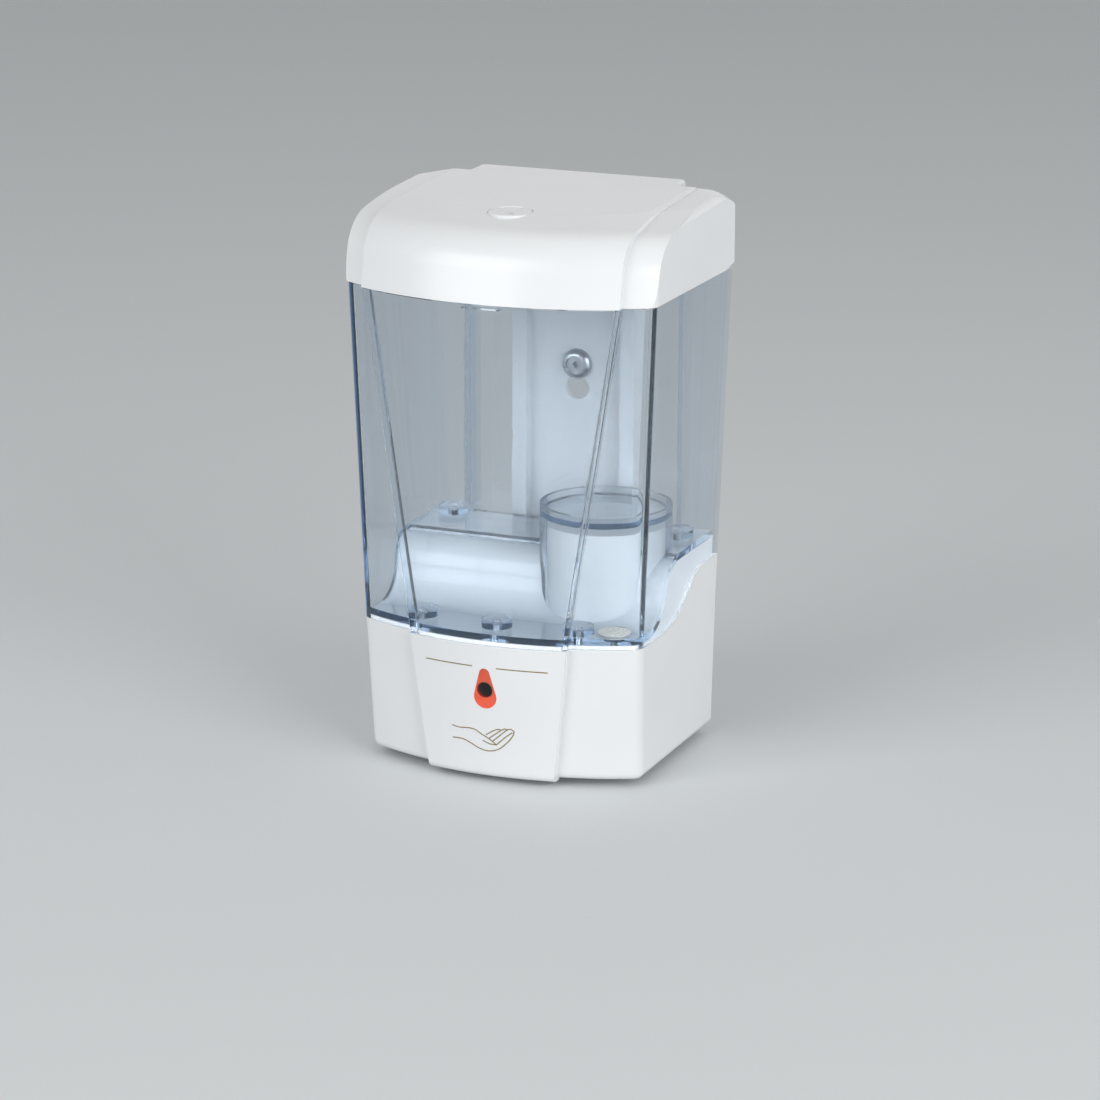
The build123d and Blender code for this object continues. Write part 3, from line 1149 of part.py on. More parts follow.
with BuildPart() as tank_screws:
    for x, y in BOSS_POINTS_LOW:
        with Locations((x, y, DECK_LOW_Z - RUN)):
            Cylinder(SCREW_RADIUS, DECK_THICK + DECK_GAP + FLOOR_THICK + TANK_SCREW_BITE, align=UP)
            Cylinder(SCREW_HEAD_RADIUS, SCREW_HEAD_HEIGHT, align=DOWN)
    for x, y in BOSS_POINTS_HIGH:
        with Locations((x, y, DECK_HIGH_Z - RUN)):
            Cylinder(SCREW_RADIUS, DECK_THICK + DECK_GAP + FLOOR_THICK + TANK_SCREW_BITE, align=UP)
            Cylinder(SCREW_HEAD_RADIUS, SCREW_HEAD_HEIGHT, align=DOWN)
tank_screws.part.label = "tank_screws"
export_step(tank_screws.part, "parts/tank_screws.step")

# Battery box and cells, standing upright behind the left front
with BuildPart() as battery_box:
    with Locations(((BOX_X0 + BOX_X1) / 2, (BOX_Y0 + BOX_Y1) / 2, BOX_LOW_Z)):
        Box(BOX_X1 - BOX_X0 + 2 * BOX_WALL, BOX_Y1 - BOX_Y0 + 2 * BOX_WALL,
            BOX_CEILING_Z + BOX_WALL - BOX_LOW_Z, align=UP)
    fillet(battery_box.edges().filter_by(Axis.Z), BOX_ROUND)
    with Locations(((BOX_X0 + BOX_X1) / 2, (BOX_Y0 + BOX_Y1) / 2, BOX_LOW_Z)):
        Box(BOX_X1 - BOX_X0, BOX_Y1 - BOX_Y0, BOX_CEILING_Z - BOX_LOW_Z, align=UP, mode=Mode.SUBTRACT)
battery_box.part.label = "battery_box"
export_step(battery_box.part, "parts/battery_box.step")

number = 0
for x in CELL_X:
    for y in CELL_Y:
        number += 1
        up = (number % 2) == 1
        with BuildPart() as cell:
            with Locations((x, y, CELL_LOW_Z if up else CELL_LOW_Z + CELL_NUB)):
                Cylinder(CELL_RADIUS, CELL_BODY, align=UP)
            fillet(cell.edges().filter_by(GeomType.CIRCLE), CELL_ROUND)
            with Locations((x, y, CELL_LOW_Z + CELL_BODY - CELL_ROUND if up else CELL_LOW_Z)):
                Cylinder(CELL_NUB_RADIUS, CELL_NUB + CELL_ROUND, align=UP)
        cell.part.label = "battery_cell_" + str(number)
        export_step(cell.part, "parts/battery_cell_" + str(number) + ".step")

with BuildPart() as top_contacts:
    for x in CELL_X:
        with Locations((x, sum(CELL_Y) / 2, BOX_CEILING_Z - SNUG)):
            Box(CONTACT_WIDTH, CELL_PITCH + CONTACT_WIDTH, CONTACT_THICK, align=DOWN)
        with Locations([(x, y, BOX_CEILING_Z - SNUG) for y in CELL_Y]):
            Cylinder(CONTACT_RADIUS, CONTACT_RISE, align=DOWN)
top_contacts.part.label = "top_contacts"
export_step(top_contacts.part, "parts/top_contacts.step")

# Bottom cover
with BuildPart() as bottom_cover:
    with BuildSketch(Plane.XY.offset(COVER_LOW_Z)):
        body_outline(COVER_LOW_Z, BASE_WALL + COVER_GAP)
    extrude(amount=COVER_THICK)
    with BuildSketch(Plane.XY.offset(COVER_LOW_Z)):
        panel_outline(COVER_LOW_Z, BASE_WALL + COVER_GAP)
    extrude(amount=COVER_THICK)
    with BuildSketch(Plane.XY.offset(COVER_LOW_Z)):
        with Locations((DOOR_X, DOOR_HINGE_Y - COVER_THICK / 2 - DOOR_GAP)):
            Rectangle(DOOR_WIDTH + 2 * DOOR_GAP, DOOR_Y1 - DOOR_HINGE_Y + COVER_THICK / 2 + 2 * DOOR_GAP,
                      align=(Align.CENTER, Align.MIN))
        with Locations((NOZZLE_X, NOZZLE_Y)):
            Circle(NOZZLE_RADIUS + RUN)
        with Locations((SWITCH_X, SWITCH_Y)):
            Rectangle(KNOB_X + SWITCH_TRAVEL + 2 * KNOB_ROOM, KNOB_Y + 2 * KNOB_ROOM)
        with Locations([(x, y) for x, y, z in COVER_POINTS]):
            Circle(SCREW_PASS_RADIUS)
    extrude(amount=COVER_THICK, mode=Mode.SUBTRACT)
    for x, y, z in COVER_POINTS:
        with Locations((x, y, COVER_LOW_Z)):
            Cylinder(SCREW_HEAD_RADIUS + HEAD_ROOM, HEAD_SINK, align=UP, mode=Mode.SUBTRACT)
    with BuildSketch(Plane.YZ.offset(DOOR_X)):
        with Locations((DOOR_HINGE_Y, DOOR_HINGE_Z)):
            Circle(DOOR_PIN_RADIUS + RUN)
    extrude(amount=DOOR_WIDTH / 2 + DOOR_PIN_LENGTH + DOOR_PIN_ROOM, both=True, mode=Mode.SUBTRACT)
bottom_cover.part.label = "bottom_cover"
export_step(bottom_cover.part, "parts/bottom_cover.step")

with BuildPart() as cover_screws:
    for x, y, z in COVER_POINTS:
        with Locations((x, y, COVER_LOW_Z + HEAD_SINK - RUN)):
            Cylinder(SCREW_RADIUS, SCREW_LENGTH, align=UP)
            Cylinder(SCREW_HEAD_RADIUS, SCREW_HEAD_HEIGHT, align=DOWN)
cover_screws.part.label = "cover_screws"
export_step(cover_screws.part, "parts/cover_screws.step")

with BuildPart() as battery_door:
    with BuildSketch(Plane.YZ.offset(DOOR_X)):
        with Locations((DOOR_HINGE_Y, DOOR_HINGE_Z)):
            Circle(COVER_THICK / 2)
            Rectangle(DOOR_Y1 - DOOR_HINGE_Y, COVER_THICK, align=(Align.MIN, Align.CENTER))
    extrude(amount=DOOR_WIDTH / 2, both=True)
    with BuildSketch(Plane.YZ.offset(DOOR_X)):
        with Locations((DOOR_HINGE_Y, DOOR_HINGE_Z)):
            Circle(DOOR_PIN_RADIUS)
    extrude(amount=DOOR_WIDTH / 2 + DOOR_PIN_LENGTH, both=True)
    with BuildSketch(Plane.XY.offset(COVER_LOW_Z)):
        with Locations((DOOR_X, DOOR_Y1)):
            Circle(FINGER_RADIUS)
    extrude(amount=FINGER_DEPTH, mode=Mode.SUBTRACT)
    with BuildSketch(Plane.XY.offset(COVER_LOW_Z)):
        with Locations([(DOOR_X, DOOR_HINGE_Y + GRIP_START + GRIP_PITCH * i)
                        for i in range(GRIP_COUNT)]):
            Rectangle(GRIP_LENGTH, GRIP_WIDTH)
    extrude(amount=GRIP_DEPTH, mode=Mode.SUBTRACT)
battery_door.part.label = "battery_door"
export_step(battery_door.part, "parts/battery_door.step")

with BuildPart() as door_contacts:
    with Locations((sum(CELL_X) / 2, CELL_Y[0], COVER_TOP_Z + SNUG)):
        Box(CELL_PITCH + DOOR_CONTACT, DOOR_CONTACT, CONTACT_THICK, align=UP)
    with Locations([(x, CELL_Y[1], COVER_TOP_Z + SNUG) for x in CELL_X]):
        Box(DOOR_CONTACT, DOOR_CONTACT, CONTACT_THICK, align=UP)
    with Locations([(x, y, COVER_TOP_Z + SNUG) for x in CELL_X for y in CELL_Y]):
        Cylinder(SPRING_RADIUS, CELL_LOW_Z - COVER_TOP_Z - 2 * SNUG - SPRING_GAP, align=UP)
door_contacts.part.label = "door_contacts"
export_step(door_contacts.part, "parts/door_contacts.step")

# Power switch
with BuildPart() as switch_body:
    with Locations((SWITCH_X, SWITCH_Y, COVER_TOP_Z + SNUG)):
        Box(SWITCH_LENGTH, SWITCH_WIDTH, SWITCH_HEIGHT, align=UP)
        Box(KNOB_X + SWITCH_TRAVEL + 2 * COLLAR_LIP, KNOB_Y + 2 * KNOB_ROOM, SWITCH_HOLLOW,
            align=UP, mode=Mode.SUBTRACT)
    with Locations([(SWITCH_X + LEG_PITCH * i, SWITCH_Y, COVER_TOP_Z + LEG_LIFT) for i in (-1, 0, 1)]):
        Box(LEG_WIDTH, LEG_DEPTH, LEG_LENGTH, align=UP)
switch_body.part.label = "switch_body"
export_step(switch_body.part, "parts/switch_body.step")

with BuildPart() as switch_knob:
    with Locations((SWITCH_X - SWITCH_TRAVEL / 2, SWITCH_Y, COVER_LOW_Z - KNOB_PROUD)):
        Box(KNOB_X, KNOB_Y, COVER_THICK + KNOB_PROUD + KNOB_RISE, align=UP)
    with Locations((SWITCH_X - SWITCH_TRAVEL / 2, SWITCH_Y, COVER_TOP_Z + COLLAR_LIFT)):
        Box(KNOB_X + COLLAR_LIP, KNOB_Y + COLLAR_LIFT, COLLAR_HEIGHT, align=UP)
    fillet(switch_knob.edges().group_by(Axis.Z)[0], KNOB_ROUND)
switch_knob.part.label = "switch_knob"
export_step(switch_knob.part, "parts/switch_knob.step")

# Motor, standing in the sleeve
with BuildPart() as motor_can:
    with Locations((TOWER_X, TOWER_Y, MOTOR_LOW_Z)):
        Cylinder(MOTOR_RADIUS, MOTOR_LENGTH, align=UP)
    fillet(motor_can.edges().group_by(Axis.Z)[0], CAN_ROUND)
    with Locations((TOWER_X, TOWER_Y, MOTOR_LOW_Z + CAN_FLOOR)):
        Cylinder(MOTOR_RADIUS - CAN_WALL, MOTOR_LENGTH, align=UP, mode=Mode.SUBTRACT)
    with Locations((TOWER_X, TOWER_Y, MOTOR_LOW_Z)):
        Cylinder(SHAFT_RADIUS + RUN, 2 * CAN_FLOOR, align=UP, mode=Mode.SUBTRACT)
motor_can.part.label = "motor_can"
export_step(motor_can.part, "parts/motor_can.step")

with BuildPart() as motor_magnets:
    with BuildSketch(Plane.XY.offset(MOTOR_LOW_Z + MAGNET_LIFT)):
        with Locations((TOWER_X, TOWER_Y)):
            Circle(MOTOR_RADIUS - CAN_WALL - SNUG)
            Circle(MAGNET_INNER, mode=Mode.SUBTRACT)
            Rectangle(MAGNET_SPLIT, OVER, mode=Mode.SUBTRACT)
    extrude(amount=MAGNET_HEIGHT)
motor_magnets.part.label = "motor_magnets"
export_step(motor_magnets.part, "parts/motor_magnets.step")

with BuildPart() as motor_armature:
    with BuildSketch(Plane.XY.offset(MOTOR_LOW_Z + ARMATURE_LIFT)):
        with Locations((TOWER_X, TOWER_Y)):
            Circle(ARMATURE_RADIUS)
            Circle(SHAFT_RADIUS + SNUG, mode=Mode.SUBTRACT)
            with PolarLocations(POLE_GAP_CIRCLE, ARMATURE_POLES, start_angle=POLE_GAP_TURN):
                Circle(POLE_GAP_RADIUS, mode=Mode.SUBTRACT)
    extrude(amount=ARMATURE_HEIGHT)
motor_armature.part.label = "motor_armature"
export_step(motor_armature.part, "parts/motor_armature.step")

with BuildPart() as motor_cap:
    with Locations((TOWER_X, TOWER_Y, MOTOR_TOP_Z + SNUG)):
        Cylinder(MOTOR_RADIUS, CAP_THICK, align=UP)
        Cylinder(MOTOR_RADIUS - CAN_WALL - SNUG, CAP_PLUG, align=DOWN)
        Cylinder(SHAFT_RADIUS + RUN, 3 * CAP_PLUG, mode=Mode.SUBTRACT)
motor_cap.part.label = "motor_cap"
export_step(motor_cap.part, "parts/motor_cap.step")

with BuildPart() as motor_pad:
    with BuildSketch(Plane.XY.offset(MOTOR_TOP_Z + CAP_THICK + 2 * SNUG)):
        with Locations((TOWER_X, TOWER_Y)):
            Circle(PAD_RADIUS)
            Circle(PAD_BORE, mode=Mode.SUBTRACT)
    extrude(amount=CEILING_Z - MOTOR_TOP_Z - CAP_THICK - 3 * SNUG)
motor_pad.part.label = "motor_pad"
export_step(motor_pad.part, "parts/motor_pad.step")

# Impeller pump under the motor
with BuildPart() as pump_impeller:
    with BuildSketch(Plane.XY.offset(IMPELLER_LOW_Z)):
        with Locations((TOWER_X, TOWER_Y)):
            with PolarLocations(VANE_PLACE, VANE_COUNT):
                Rectangle(VANE_LENGTH, VANE_WIDTH, rotation=VANE_LEAN)
            Circle(IMPELLER_RADIUS, mode=Mode.INTERSECT)
    extrude(amount=IMPELLER_TOP_Z - IMPELLER_LOW_Z)
    with Locations((TOWER_X, TOWER_Y, IMPELLER_TOP_Z)):
        Cylinder(IMPELLER_RADIUS, IMPELLER_DISC, align=DOWN)
        Cylinder(IMPELLER_HUB_RADIUS, IMPELLER_HUB, align=DOWN)
        Cylinder(SHAFT_RADIUS + SNUG, 2 * IMPELLER_HUB, mode=Mode.SUBTRACT)
pump_impeller.part.label = "pump_impeller"
export_step(pump_impeller.part, "parts/pump_impeller.step")

with BuildPart() as motor_shaft:
    with Locations((TOWER_X, TOWER_Y, IMPELLER_TOP_Z - IMPELLER_HUB)):
        Cylinder(SHAFT_RADIUS, MOTOR_TOP_Z + CAP_THICK - SHAFT_SINK - IMPELLER_TOP_Z + IMPELLER_HUB,
                 align=UP)
motor_shaft.part.label = "motor_shaft"
export_step(motor_shaft.part, "parts/motor_shaft.step")

with BuildPart() as pump_body:
    with Locations((TOWER_X, TOWER_Y, BODY_LOW_Z)):
        Cylinder(BODY_RADIUS, BODY_HEIGHT, align=UP)
    with BuildSketch(Plane.XY.offset(PUMP_TOP_Z - FLANGE_THICK)):
        with Locations((TOWER_X, TOWER_Y)):
            SlotCenterToCenter(2 * PUMP_EAR, FLANGE_WIDTH)
    extrude(amount=FLANGE_THICK)
    with BuildSketch(Plane.XY.offset(BODY_LOW_Z)):
        with Locations((TOWER_X, TOWER_Y)):
            Circle(CHAMBER_RADIUS)
        with Locations((VOLUTE_X, VOLUTE_Y)):
            Circle(VOLUTE_RADIUS)
    extrude(amount=CHAMBER_HEIGHT, mode=Mode.SUBTRACT)
    with Locations((TOWER_X, TOWER_Y, PUMP_TOP_Z)):
        Cylinder(SHAFT_RADIUS + SHAFT_ROOM, 2 * BODY_HEIGHT, mode=Mode.SUBTRACT)
        Cylinder(SEAL_RADIUS + SNUG, 2 * SEAL_SEAT, mode=Mode.SUBTRACT)
    with Locations([(x, y, BODY_LOW_Z) for x, y in PUMP_SCREWS]):
        Cylinder(PUMP_SCREW_RADIUS + RUN, PUMP_SCREW_DEPTH, align=UP, mode=Mode.SUBTRACT)
    with Locations([(x, y, PUMP_TOP_Z) for x, y in PUMP_EARS]):
        Cylinder(SCREW_PASS_RADIUS, 2 * FLANGE_THICK + 2 * RUN, mode=Mode.SUBTRACT)
pump_body.part.label = "pump_body"
export_step(pump_body.part, "parts/pump_body.step")

with BuildPart() as shaft_seal:
    with BuildSketch(Plane.XY.offset(PUMP_TOP_Z - SEAL_SEAT + SNUG)):
        with Locations((TOWER_X, TOWER_Y)):
            Circle(SEAL_RADIUS)
            Circle(SHAFT_RADIUS + RUN, mode=Mode.SUBTRACT)
    extrude(amount=SEAL_THICK)
shaft_seal.part.label = "shaft_seal"
export_step(shaft_seal.part, "parts/shaft_seal.step")

with BuildPart() as pump_gasket:
    with BuildSketch(Plane.XY.offset(BODY_LOW_Z - GASKET_THICK - SNUG)):
        with Locations((TOWER_X, TOWER_Y)):
            Circle(BODY_RADIUS)
            Circle(CHAMBER_RADIUS, mode=Mode.SUBTRACT)
        with Locations((VOLUTE_X, VOLUTE_Y)):
            Circle(VOLUTE_RADIUS, mode=Mode.SUBTRACT)
        with Locations(PUMP_SCREWS):
            Circle(PUMP_SCREW_RADIUS + RUN, mode=Mode.SUBTRACT)
    extrude(amount=GASKET_THICK)
pump_gasket.part.label = "pump_gasket"
export_step(pump_gasket.part, "parts/pump_gasket.step")

with BuildPart() as pump_cover:
    with Locations((TOWER_X, TOWER_Y, PUMP_COVER_LOW_Z)):
        Cylinder(BODY_RADIUS, PUMP_COVER_THICK, align=UP)
    with Locations([(x, y, PUMP_COVER_LOW_Z) for x, y in PORTS]):
        Cylinder(HOSE_BORE, BARB_LENGTH, align=DOWN)
    with Locations([(x, y, PUMP_COVER_TOP_Z) for x, y in PORTS]):
        Cylinder(PORT_RADIUS, BARB_LENGTH + PUMP_COVER_THICK, align=DOWN, mode=Mode.SUBTRACT)
    with Locations([(x, y, PUMP_COVER_LOW_Z) for x, y in PUMP_SCREWS]):
        Cylinder(PUMP_SCREW_RADIUS + RUN, PUMP_COVER_THICK, align=UP, mode=Mode.SUBTRACT)
pump_cover.part.label = "pump_cover"
export_step(pump_cover.part, "parts/pump_cover.step")

with BuildPart() as pump_screws:
    with Locations([(x, y, PUMP_COVER_LOW_Z - SNUG) for x, y in PUMP_SCREWS]):
        Cylinder(PUMP_SCREW_RADIUS, PUMP_SCREW_LENGTH, align=UP)
        Cylinder(PUMP_SCREW_HEAD, PUMP_SCREW_HEAD_HEIGHT, align=DOWN)
    with Locations([(x, y, PUMP_TOP_Z - FLANGE_THICK - SNUG) for x, y in PUMP_EARS]):
        Cylinder(SCREW_RADIUS, FLANGE_THICK + EAR_SCREW_BITE, align=UP)
        Cylinder(SCREW_HEAD_RADIUS, SCREW_HEAD_HEIGHT, align=DOWN)
pump_screws.part.label = "pump_screws"
export_step(pump_screws.part, "parts/pump_screws.step")

# Hoses
in_plane = Plane(origin=(DRAIN_X, DRAIN_Y, 0), x_dir=(TOWER_X - DRAIN_X, TOWER_Y - DRAIN_Y, 0),
                 z_dir=(TOWER_Y - DRAIN_Y, DRAIN_X - TOWER_X, 0))
out_plane = Plane(origin=(OUT_X, OUT_Y, 0), x_dir=(OUT_DIR[0], OUT_DIR[1], 0),
                  z_dir=(OUT_DIR[1], -OUT_DIR[0], 0))

with BuildPart() as inlet_hose:
    with BuildLine(in_plane) as in_path:
        Line((0, HOSE_TOP_DRAIN_Z), (0, IN_BEND_Z))
        ThreePointArc((0, IN_BEND_Z), (IN_SPAN / 2, IN_BEND_Z - IN_SPAN / 2), (IN_SPAN, IN_BEND_Z))
        Line((IN_SPAN, IN_BEND_Z), (IN_SPAN, HOSE_TOP_PUMP_Z))
    with BuildSketch(Plane(origin=(DRAIN_X, DRAIN_Y, HOSE_TOP_DRAIN_Z), z_dir=(0, 0, -1))):
        Circle(HOSE_RADIUS)
        Circle(HOSE_BORE + SNUG, mode=Mode.SUBTRACT)
    sweep(path=in_path.wires()[0])
inlet_hose.part.label = "inlet_hose"
export_step(inlet_hose.part, "parts/inlet_hose.step")

with BuildPart() as outlet_hose:
    with BuildLine(out_plane) as out_path:
        Line((0, HOSE_TOP_PUMP_Z), (0, OUT_LEVEL_Z + OUT_BEND))
        ThreePointArc((0, OUT_LEVEL_Z + OUT_BEND),
                      (OUT_BEND * (1 - sqrt(0.5)), OUT_LEVEL_Z + OUT_BEND * (1 - sqrt(0.5))),
                      (OUT_BEND, OUT_LEVEL_Z))
        Line((OUT_BEND, OUT_LEVEL_Z), (OUT_SPAN - NOZZLE_BARB_START, OUT_LEVEL_Z))
    with BuildSketch(Plane(origin=(OUT_X, OUT_Y, HOSE_TOP_PUMP_Z), z_dir=(0, 0, -1))):
        Circle(HOSE_RADIUS)
        Circle(HOSE_BORE + SNUG, mode=Mode.SUBTRACT)
    sweep(path=out_path.wires()[0])
outlet_hose.part.label = "outlet_hose"
export_step(outlet_hose.part, "parts/outlet_hose.step")

# Nozzle with its valve
barb_plane = Plane(origin=(NOZZLE_X, NOZZLE_Y, OUT_LEVEL_Z), x_dir=(0, 0, 1),
                   z_dir=(-OUT_DIR[0], -OUT_DIR[1], 0))

with BuildPart() as nozzle:
    with Locations((NOZZLE_X, NOZZLE_Y, NOZZLE_TIP_Z)):
        Cylinder(NOZZLE_RADIUS, NOZZLE_FLANGE_Z + FUSE - NOZZLE_TIP_Z, align=UP)
    with Locations((NOZZLE_X, NOZZLE_Y, NOZZLE_FLANGE_Z)):
        Cylinder(NOZZLE_FLANGE_RADIUS, NOZZLE_FLANGE_THICK, align=UP)
        Cylinder(NOZZLE_NECK, NOZZLE_TOP_Z - NOZZLE_FLANGE_Z, align=UP)
    with BuildSketch(barb_plane):
        Circle(HOSE_BORE)
    extrude(amount=NOZZLE_BARB_END)
    with BuildSketch(barb_plane):
        Circle(PORT_RADIUS)
    extrude(amount=NOZZLE_BARB_END, mode=Mode.SUBTRACT)
    with Locations((NOZZLE_X, NOZZLE_Y, NOZZLE_TIP_Z)):
        Cylinder(PORT_RADIUS, OUT_LEVEL_Z - NOZZLE_TIP_Z, align=UP, mode=Mode.SUBTRACT)
        Cylinder(VALVE_RADIUS + SNUG, VALVE_TOP_Z - NOZZLE_TIP_Z, align=UP, mode=Mode.SUBTRACT)
nozzle.part.label = "nozzle"
export_step(nozzle.part, "parts/nozzle.step")

with BuildPart() as nozzle_valve:
    with Locations((NOZZLE_X, NOZZLE_Y, VALVE_TOP_Z - SNUG)):
        Cylinder(VALVE_RADIUS, VALVE_RIM, align=DOWN)
    with BuildSketch(Plane.XY.offset(VALVE_TOP_Z - FUSE)):
        with Locations((NOZZLE_X, NOZZLE_Y)):
            Circle(VALVE_NECK)
    with BuildSketch(Plane.XY.offset(NOZZLE_TIP_Z - VALVE_PROUD)):
        with Locations((NOZZLE_X, NOZZLE_Y)):
            SlotOverall(VALVE_LIP_LENGTH, VALVE_LIP_WIDTH)
    loft(ruled=True)
    with Locations((NOZZLE_X, NOZZLE_Y, NOZZLE_TIP_Z + VALVE_LIP)):
        Cylinder(VALVE_BORE, 2 * VALVE_HEIGHT, align=UP, mode=Mode.SUBTRACT)
nozzle_valve.part.label = "nozzle_valve"
export_step(nozzle_valve.part, "parts/nozzle_valve.step")

# Drain strainer and seal
with BuildPart() as drain_strainer:
    with BuildSketch(Plane.XY.offset(FLOOR_LOW_Z - STRAINER_SINK + SNUG)):
        with Locations((DRAIN_X, DRAIN_Y)):
            Circle(STRAINER_RADIUS)
            with GridLocations(MESH_PITCH, MESH_PITCH, MESH_COUNT, MESH_COUNT):
                Rectangle(MESH_HOLE, MESH_HOLE, mode=Mode.SUBTRACT)
    extrude(amount=STRAINER_THICK)
drain_strainer.part.label = "drain_strainer"
export_step(drain_strainer.part, "parts/drain_strainer.step")

with BuildPart() as drain_seal:
    with BuildSketch(Plane.XY.offset(DECK_LOW_Z - DRAIN_SEAL_THICK - SNUG)):
        with Locations((DRAIN_X, DRAIN_Y)):
            Circle(SPIGOT_RADIUS + DRAIN_SEAL_WIDTH)
            Circle(SPIGOT_RADIUS + SNUG, mode=Mode.SUBTRACT)
    extrude(amount=DRAIN_SEAL_THICK)
drain_seal.part.label = "drain_seal"
export_step(drain_seal.part, "parts/drain_seal.step")

# Sensor board
with BuildPart() as sensor_board:
    with BuildSketch(Plane.XZ.offset(-BOARD_FRONT_Y - BOARD_THICK)):
        with Locations((0, (BOARD_LOW_Z + BOARD_HIGH_Z) / 2)):
            RectangleRounded(2 * BOARD_HALF, BOARD_HIGH_Z - BOARD_LOW_Z, BOARD_ROUND)
        with Locations(BOARD_POSTS):
            Circle(BOARD_SCREW_RADIUS + BOARD_HOLE_ROOM, mode=Mode.SUBTRACT)
    extrude(amount=BOARD_THICK - SNUG)
sensor_board.part.label = "sensor_board"
export_step(sensor_board.part, "parts/sensor_board.step")

with BuildPart() as board_screws:
    for x, z in BOARD_POSTS:
        with Locations(Location((x, BOARD_REAR_Y, z), (90, 0, 0))):
            Cylinder(BOARD_SCREW_RADIUS, BOARD_THICK + BOARD_SCREW_BITE, align=UP)
            Cylinder(BOARD_SCREW_HEAD, BOARD_SCREW_HEAD_HEIGHT, align=DOWN)
board_screws.part.label = "board_screws"
export_step(board_screws.part, "parts/board_screws.step")

with BuildPart() as infrared_eye:
    with Locations(Location((0, BOARD_FRONT_Y - SNUG, EYE_Z), (90, 0, 0))):
        Cylinder(EYE_RADIUS, EYE_LENGTH, align=UP)
    fillet(infrared_eye.edges().group_by(Axis.Y)[0], EYE_ROUND)
infrared_eye.part.label = "infrared_eye"
export_step(infrared_eye.part, "parts/infrared_eye.step")

with BuildPart() as indicator_lamp:
    with Locations(Location((0, BOARD_FRONT_Y - SNUG, EYE_Z - LAMP_DROP), (90, 0, 0))):
        Cylinder(LAMP_RADIUS, LAMP_LENGTH, align=UP)
    fillet(indicator_lamp.edges().group_by(Axis.Y)[0], LAMP_ROUND)
indicator_lamp.part.label = "indicator_lamp"
export_step(indicator_lamp.part, "parts/indicator_lamp.step")

with BuildPart() as control_chip:
    with Locations((0, BOARD_REAR_Y, CHIP_Z)):
        Box(CHIP_LENGTH, CHIP_THICK, CHIP_WIDTH, align=(Align.CENTER, Align.MIN, Align.CENTER))
    with Locations([(dx * CHIP_LEG_PITCH, BOARD_REAR_Y, CHIP_Z + side * CHIP_LEG_SHIFT)
                    for dx in range(-3, 4) for side in (-1, 1)]):
        Box(*CHIP_LEG, align=(Align.CENTER, Align.MIN, Align.CENTER))
control_chip.part.label = "control_chip"
export_step(control_chip.part, "parts/control_chip.step")
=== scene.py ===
import json
import math

import bmesh
import bpy
from mathutils import Matrix, Vector
from mathutils.bvhtree import BVHTree


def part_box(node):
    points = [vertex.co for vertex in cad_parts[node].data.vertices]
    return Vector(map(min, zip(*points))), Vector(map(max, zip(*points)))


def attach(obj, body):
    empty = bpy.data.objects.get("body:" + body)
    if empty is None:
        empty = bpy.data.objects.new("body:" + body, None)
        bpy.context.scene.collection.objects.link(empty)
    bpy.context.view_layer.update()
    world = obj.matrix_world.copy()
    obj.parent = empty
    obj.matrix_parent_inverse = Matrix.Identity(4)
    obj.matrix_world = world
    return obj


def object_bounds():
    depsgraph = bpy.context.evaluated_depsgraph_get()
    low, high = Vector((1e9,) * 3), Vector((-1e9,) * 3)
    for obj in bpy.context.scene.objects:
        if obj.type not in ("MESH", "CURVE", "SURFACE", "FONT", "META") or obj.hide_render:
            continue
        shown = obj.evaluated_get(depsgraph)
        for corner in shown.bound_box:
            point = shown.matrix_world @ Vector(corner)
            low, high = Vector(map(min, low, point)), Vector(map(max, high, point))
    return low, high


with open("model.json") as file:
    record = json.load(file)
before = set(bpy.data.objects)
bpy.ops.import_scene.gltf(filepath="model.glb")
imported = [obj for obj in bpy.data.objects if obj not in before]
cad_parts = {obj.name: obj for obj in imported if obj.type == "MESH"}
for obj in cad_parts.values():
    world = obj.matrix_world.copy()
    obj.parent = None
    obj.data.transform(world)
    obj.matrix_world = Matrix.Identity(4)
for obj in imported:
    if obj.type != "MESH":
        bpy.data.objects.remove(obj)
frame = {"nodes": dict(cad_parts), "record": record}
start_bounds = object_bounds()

nodes = frame["nodes"]
MM = 0.001

# Camera, fitted to the object's edges in the photograph
EYE = Vector((558.5, -1394.3, 428.2)) * MM
TARGET = Vector((7.21, -50.0, 24.16)) * MM
ROLL = math.radians(0.22)
SENSOR = 36.0
LENS = 136.6
CLIP_NEAR = 0.05
CLIP_FAR = 50.0

# Floor and surroundings
FLOOR_SIZE = 14.0
FLOOR_DROP = 0.3 * MM
FLOOR_COLOUR = (0.76, 0.79, 0.80)
FLOOR_CHANGE = 0.01
FLOOR_ROUGH = 0.75
SKY_COLOUR = (0.93, 0.94, 0.95)
SKY_LIGHT = 0.33

# Lamps: place and width in metres, power in watts
LAMPS = {
    "key": ((-0.9, -1.9, 0.9), 1.4, 20.5),
    "fill": ((1.7, -1.0, 0.6), 1.4, 24.0),
    "top": ((0.1, 0.1, 1.7), 1.2, 2.0),
}

# Noise that varies the surfaces, in waves per metre, and the ranges of noise and mask values
BROAD_GRAIN = 22.0
FINE_GRAIN = 900.0
WHITE_GRAIN = 240.0
TANK_GRAIN = 14.0
WINDOW_GRAIN = 300.0
PRINT_GRAIN = 700.0
FLOOR_GRAIN = 3.0
NOISE_RANGE = (0.3, 0.7)
MASK_RANGE = (0.0, 1.0)
RELIEF_DEPTH = 0.02 * MM

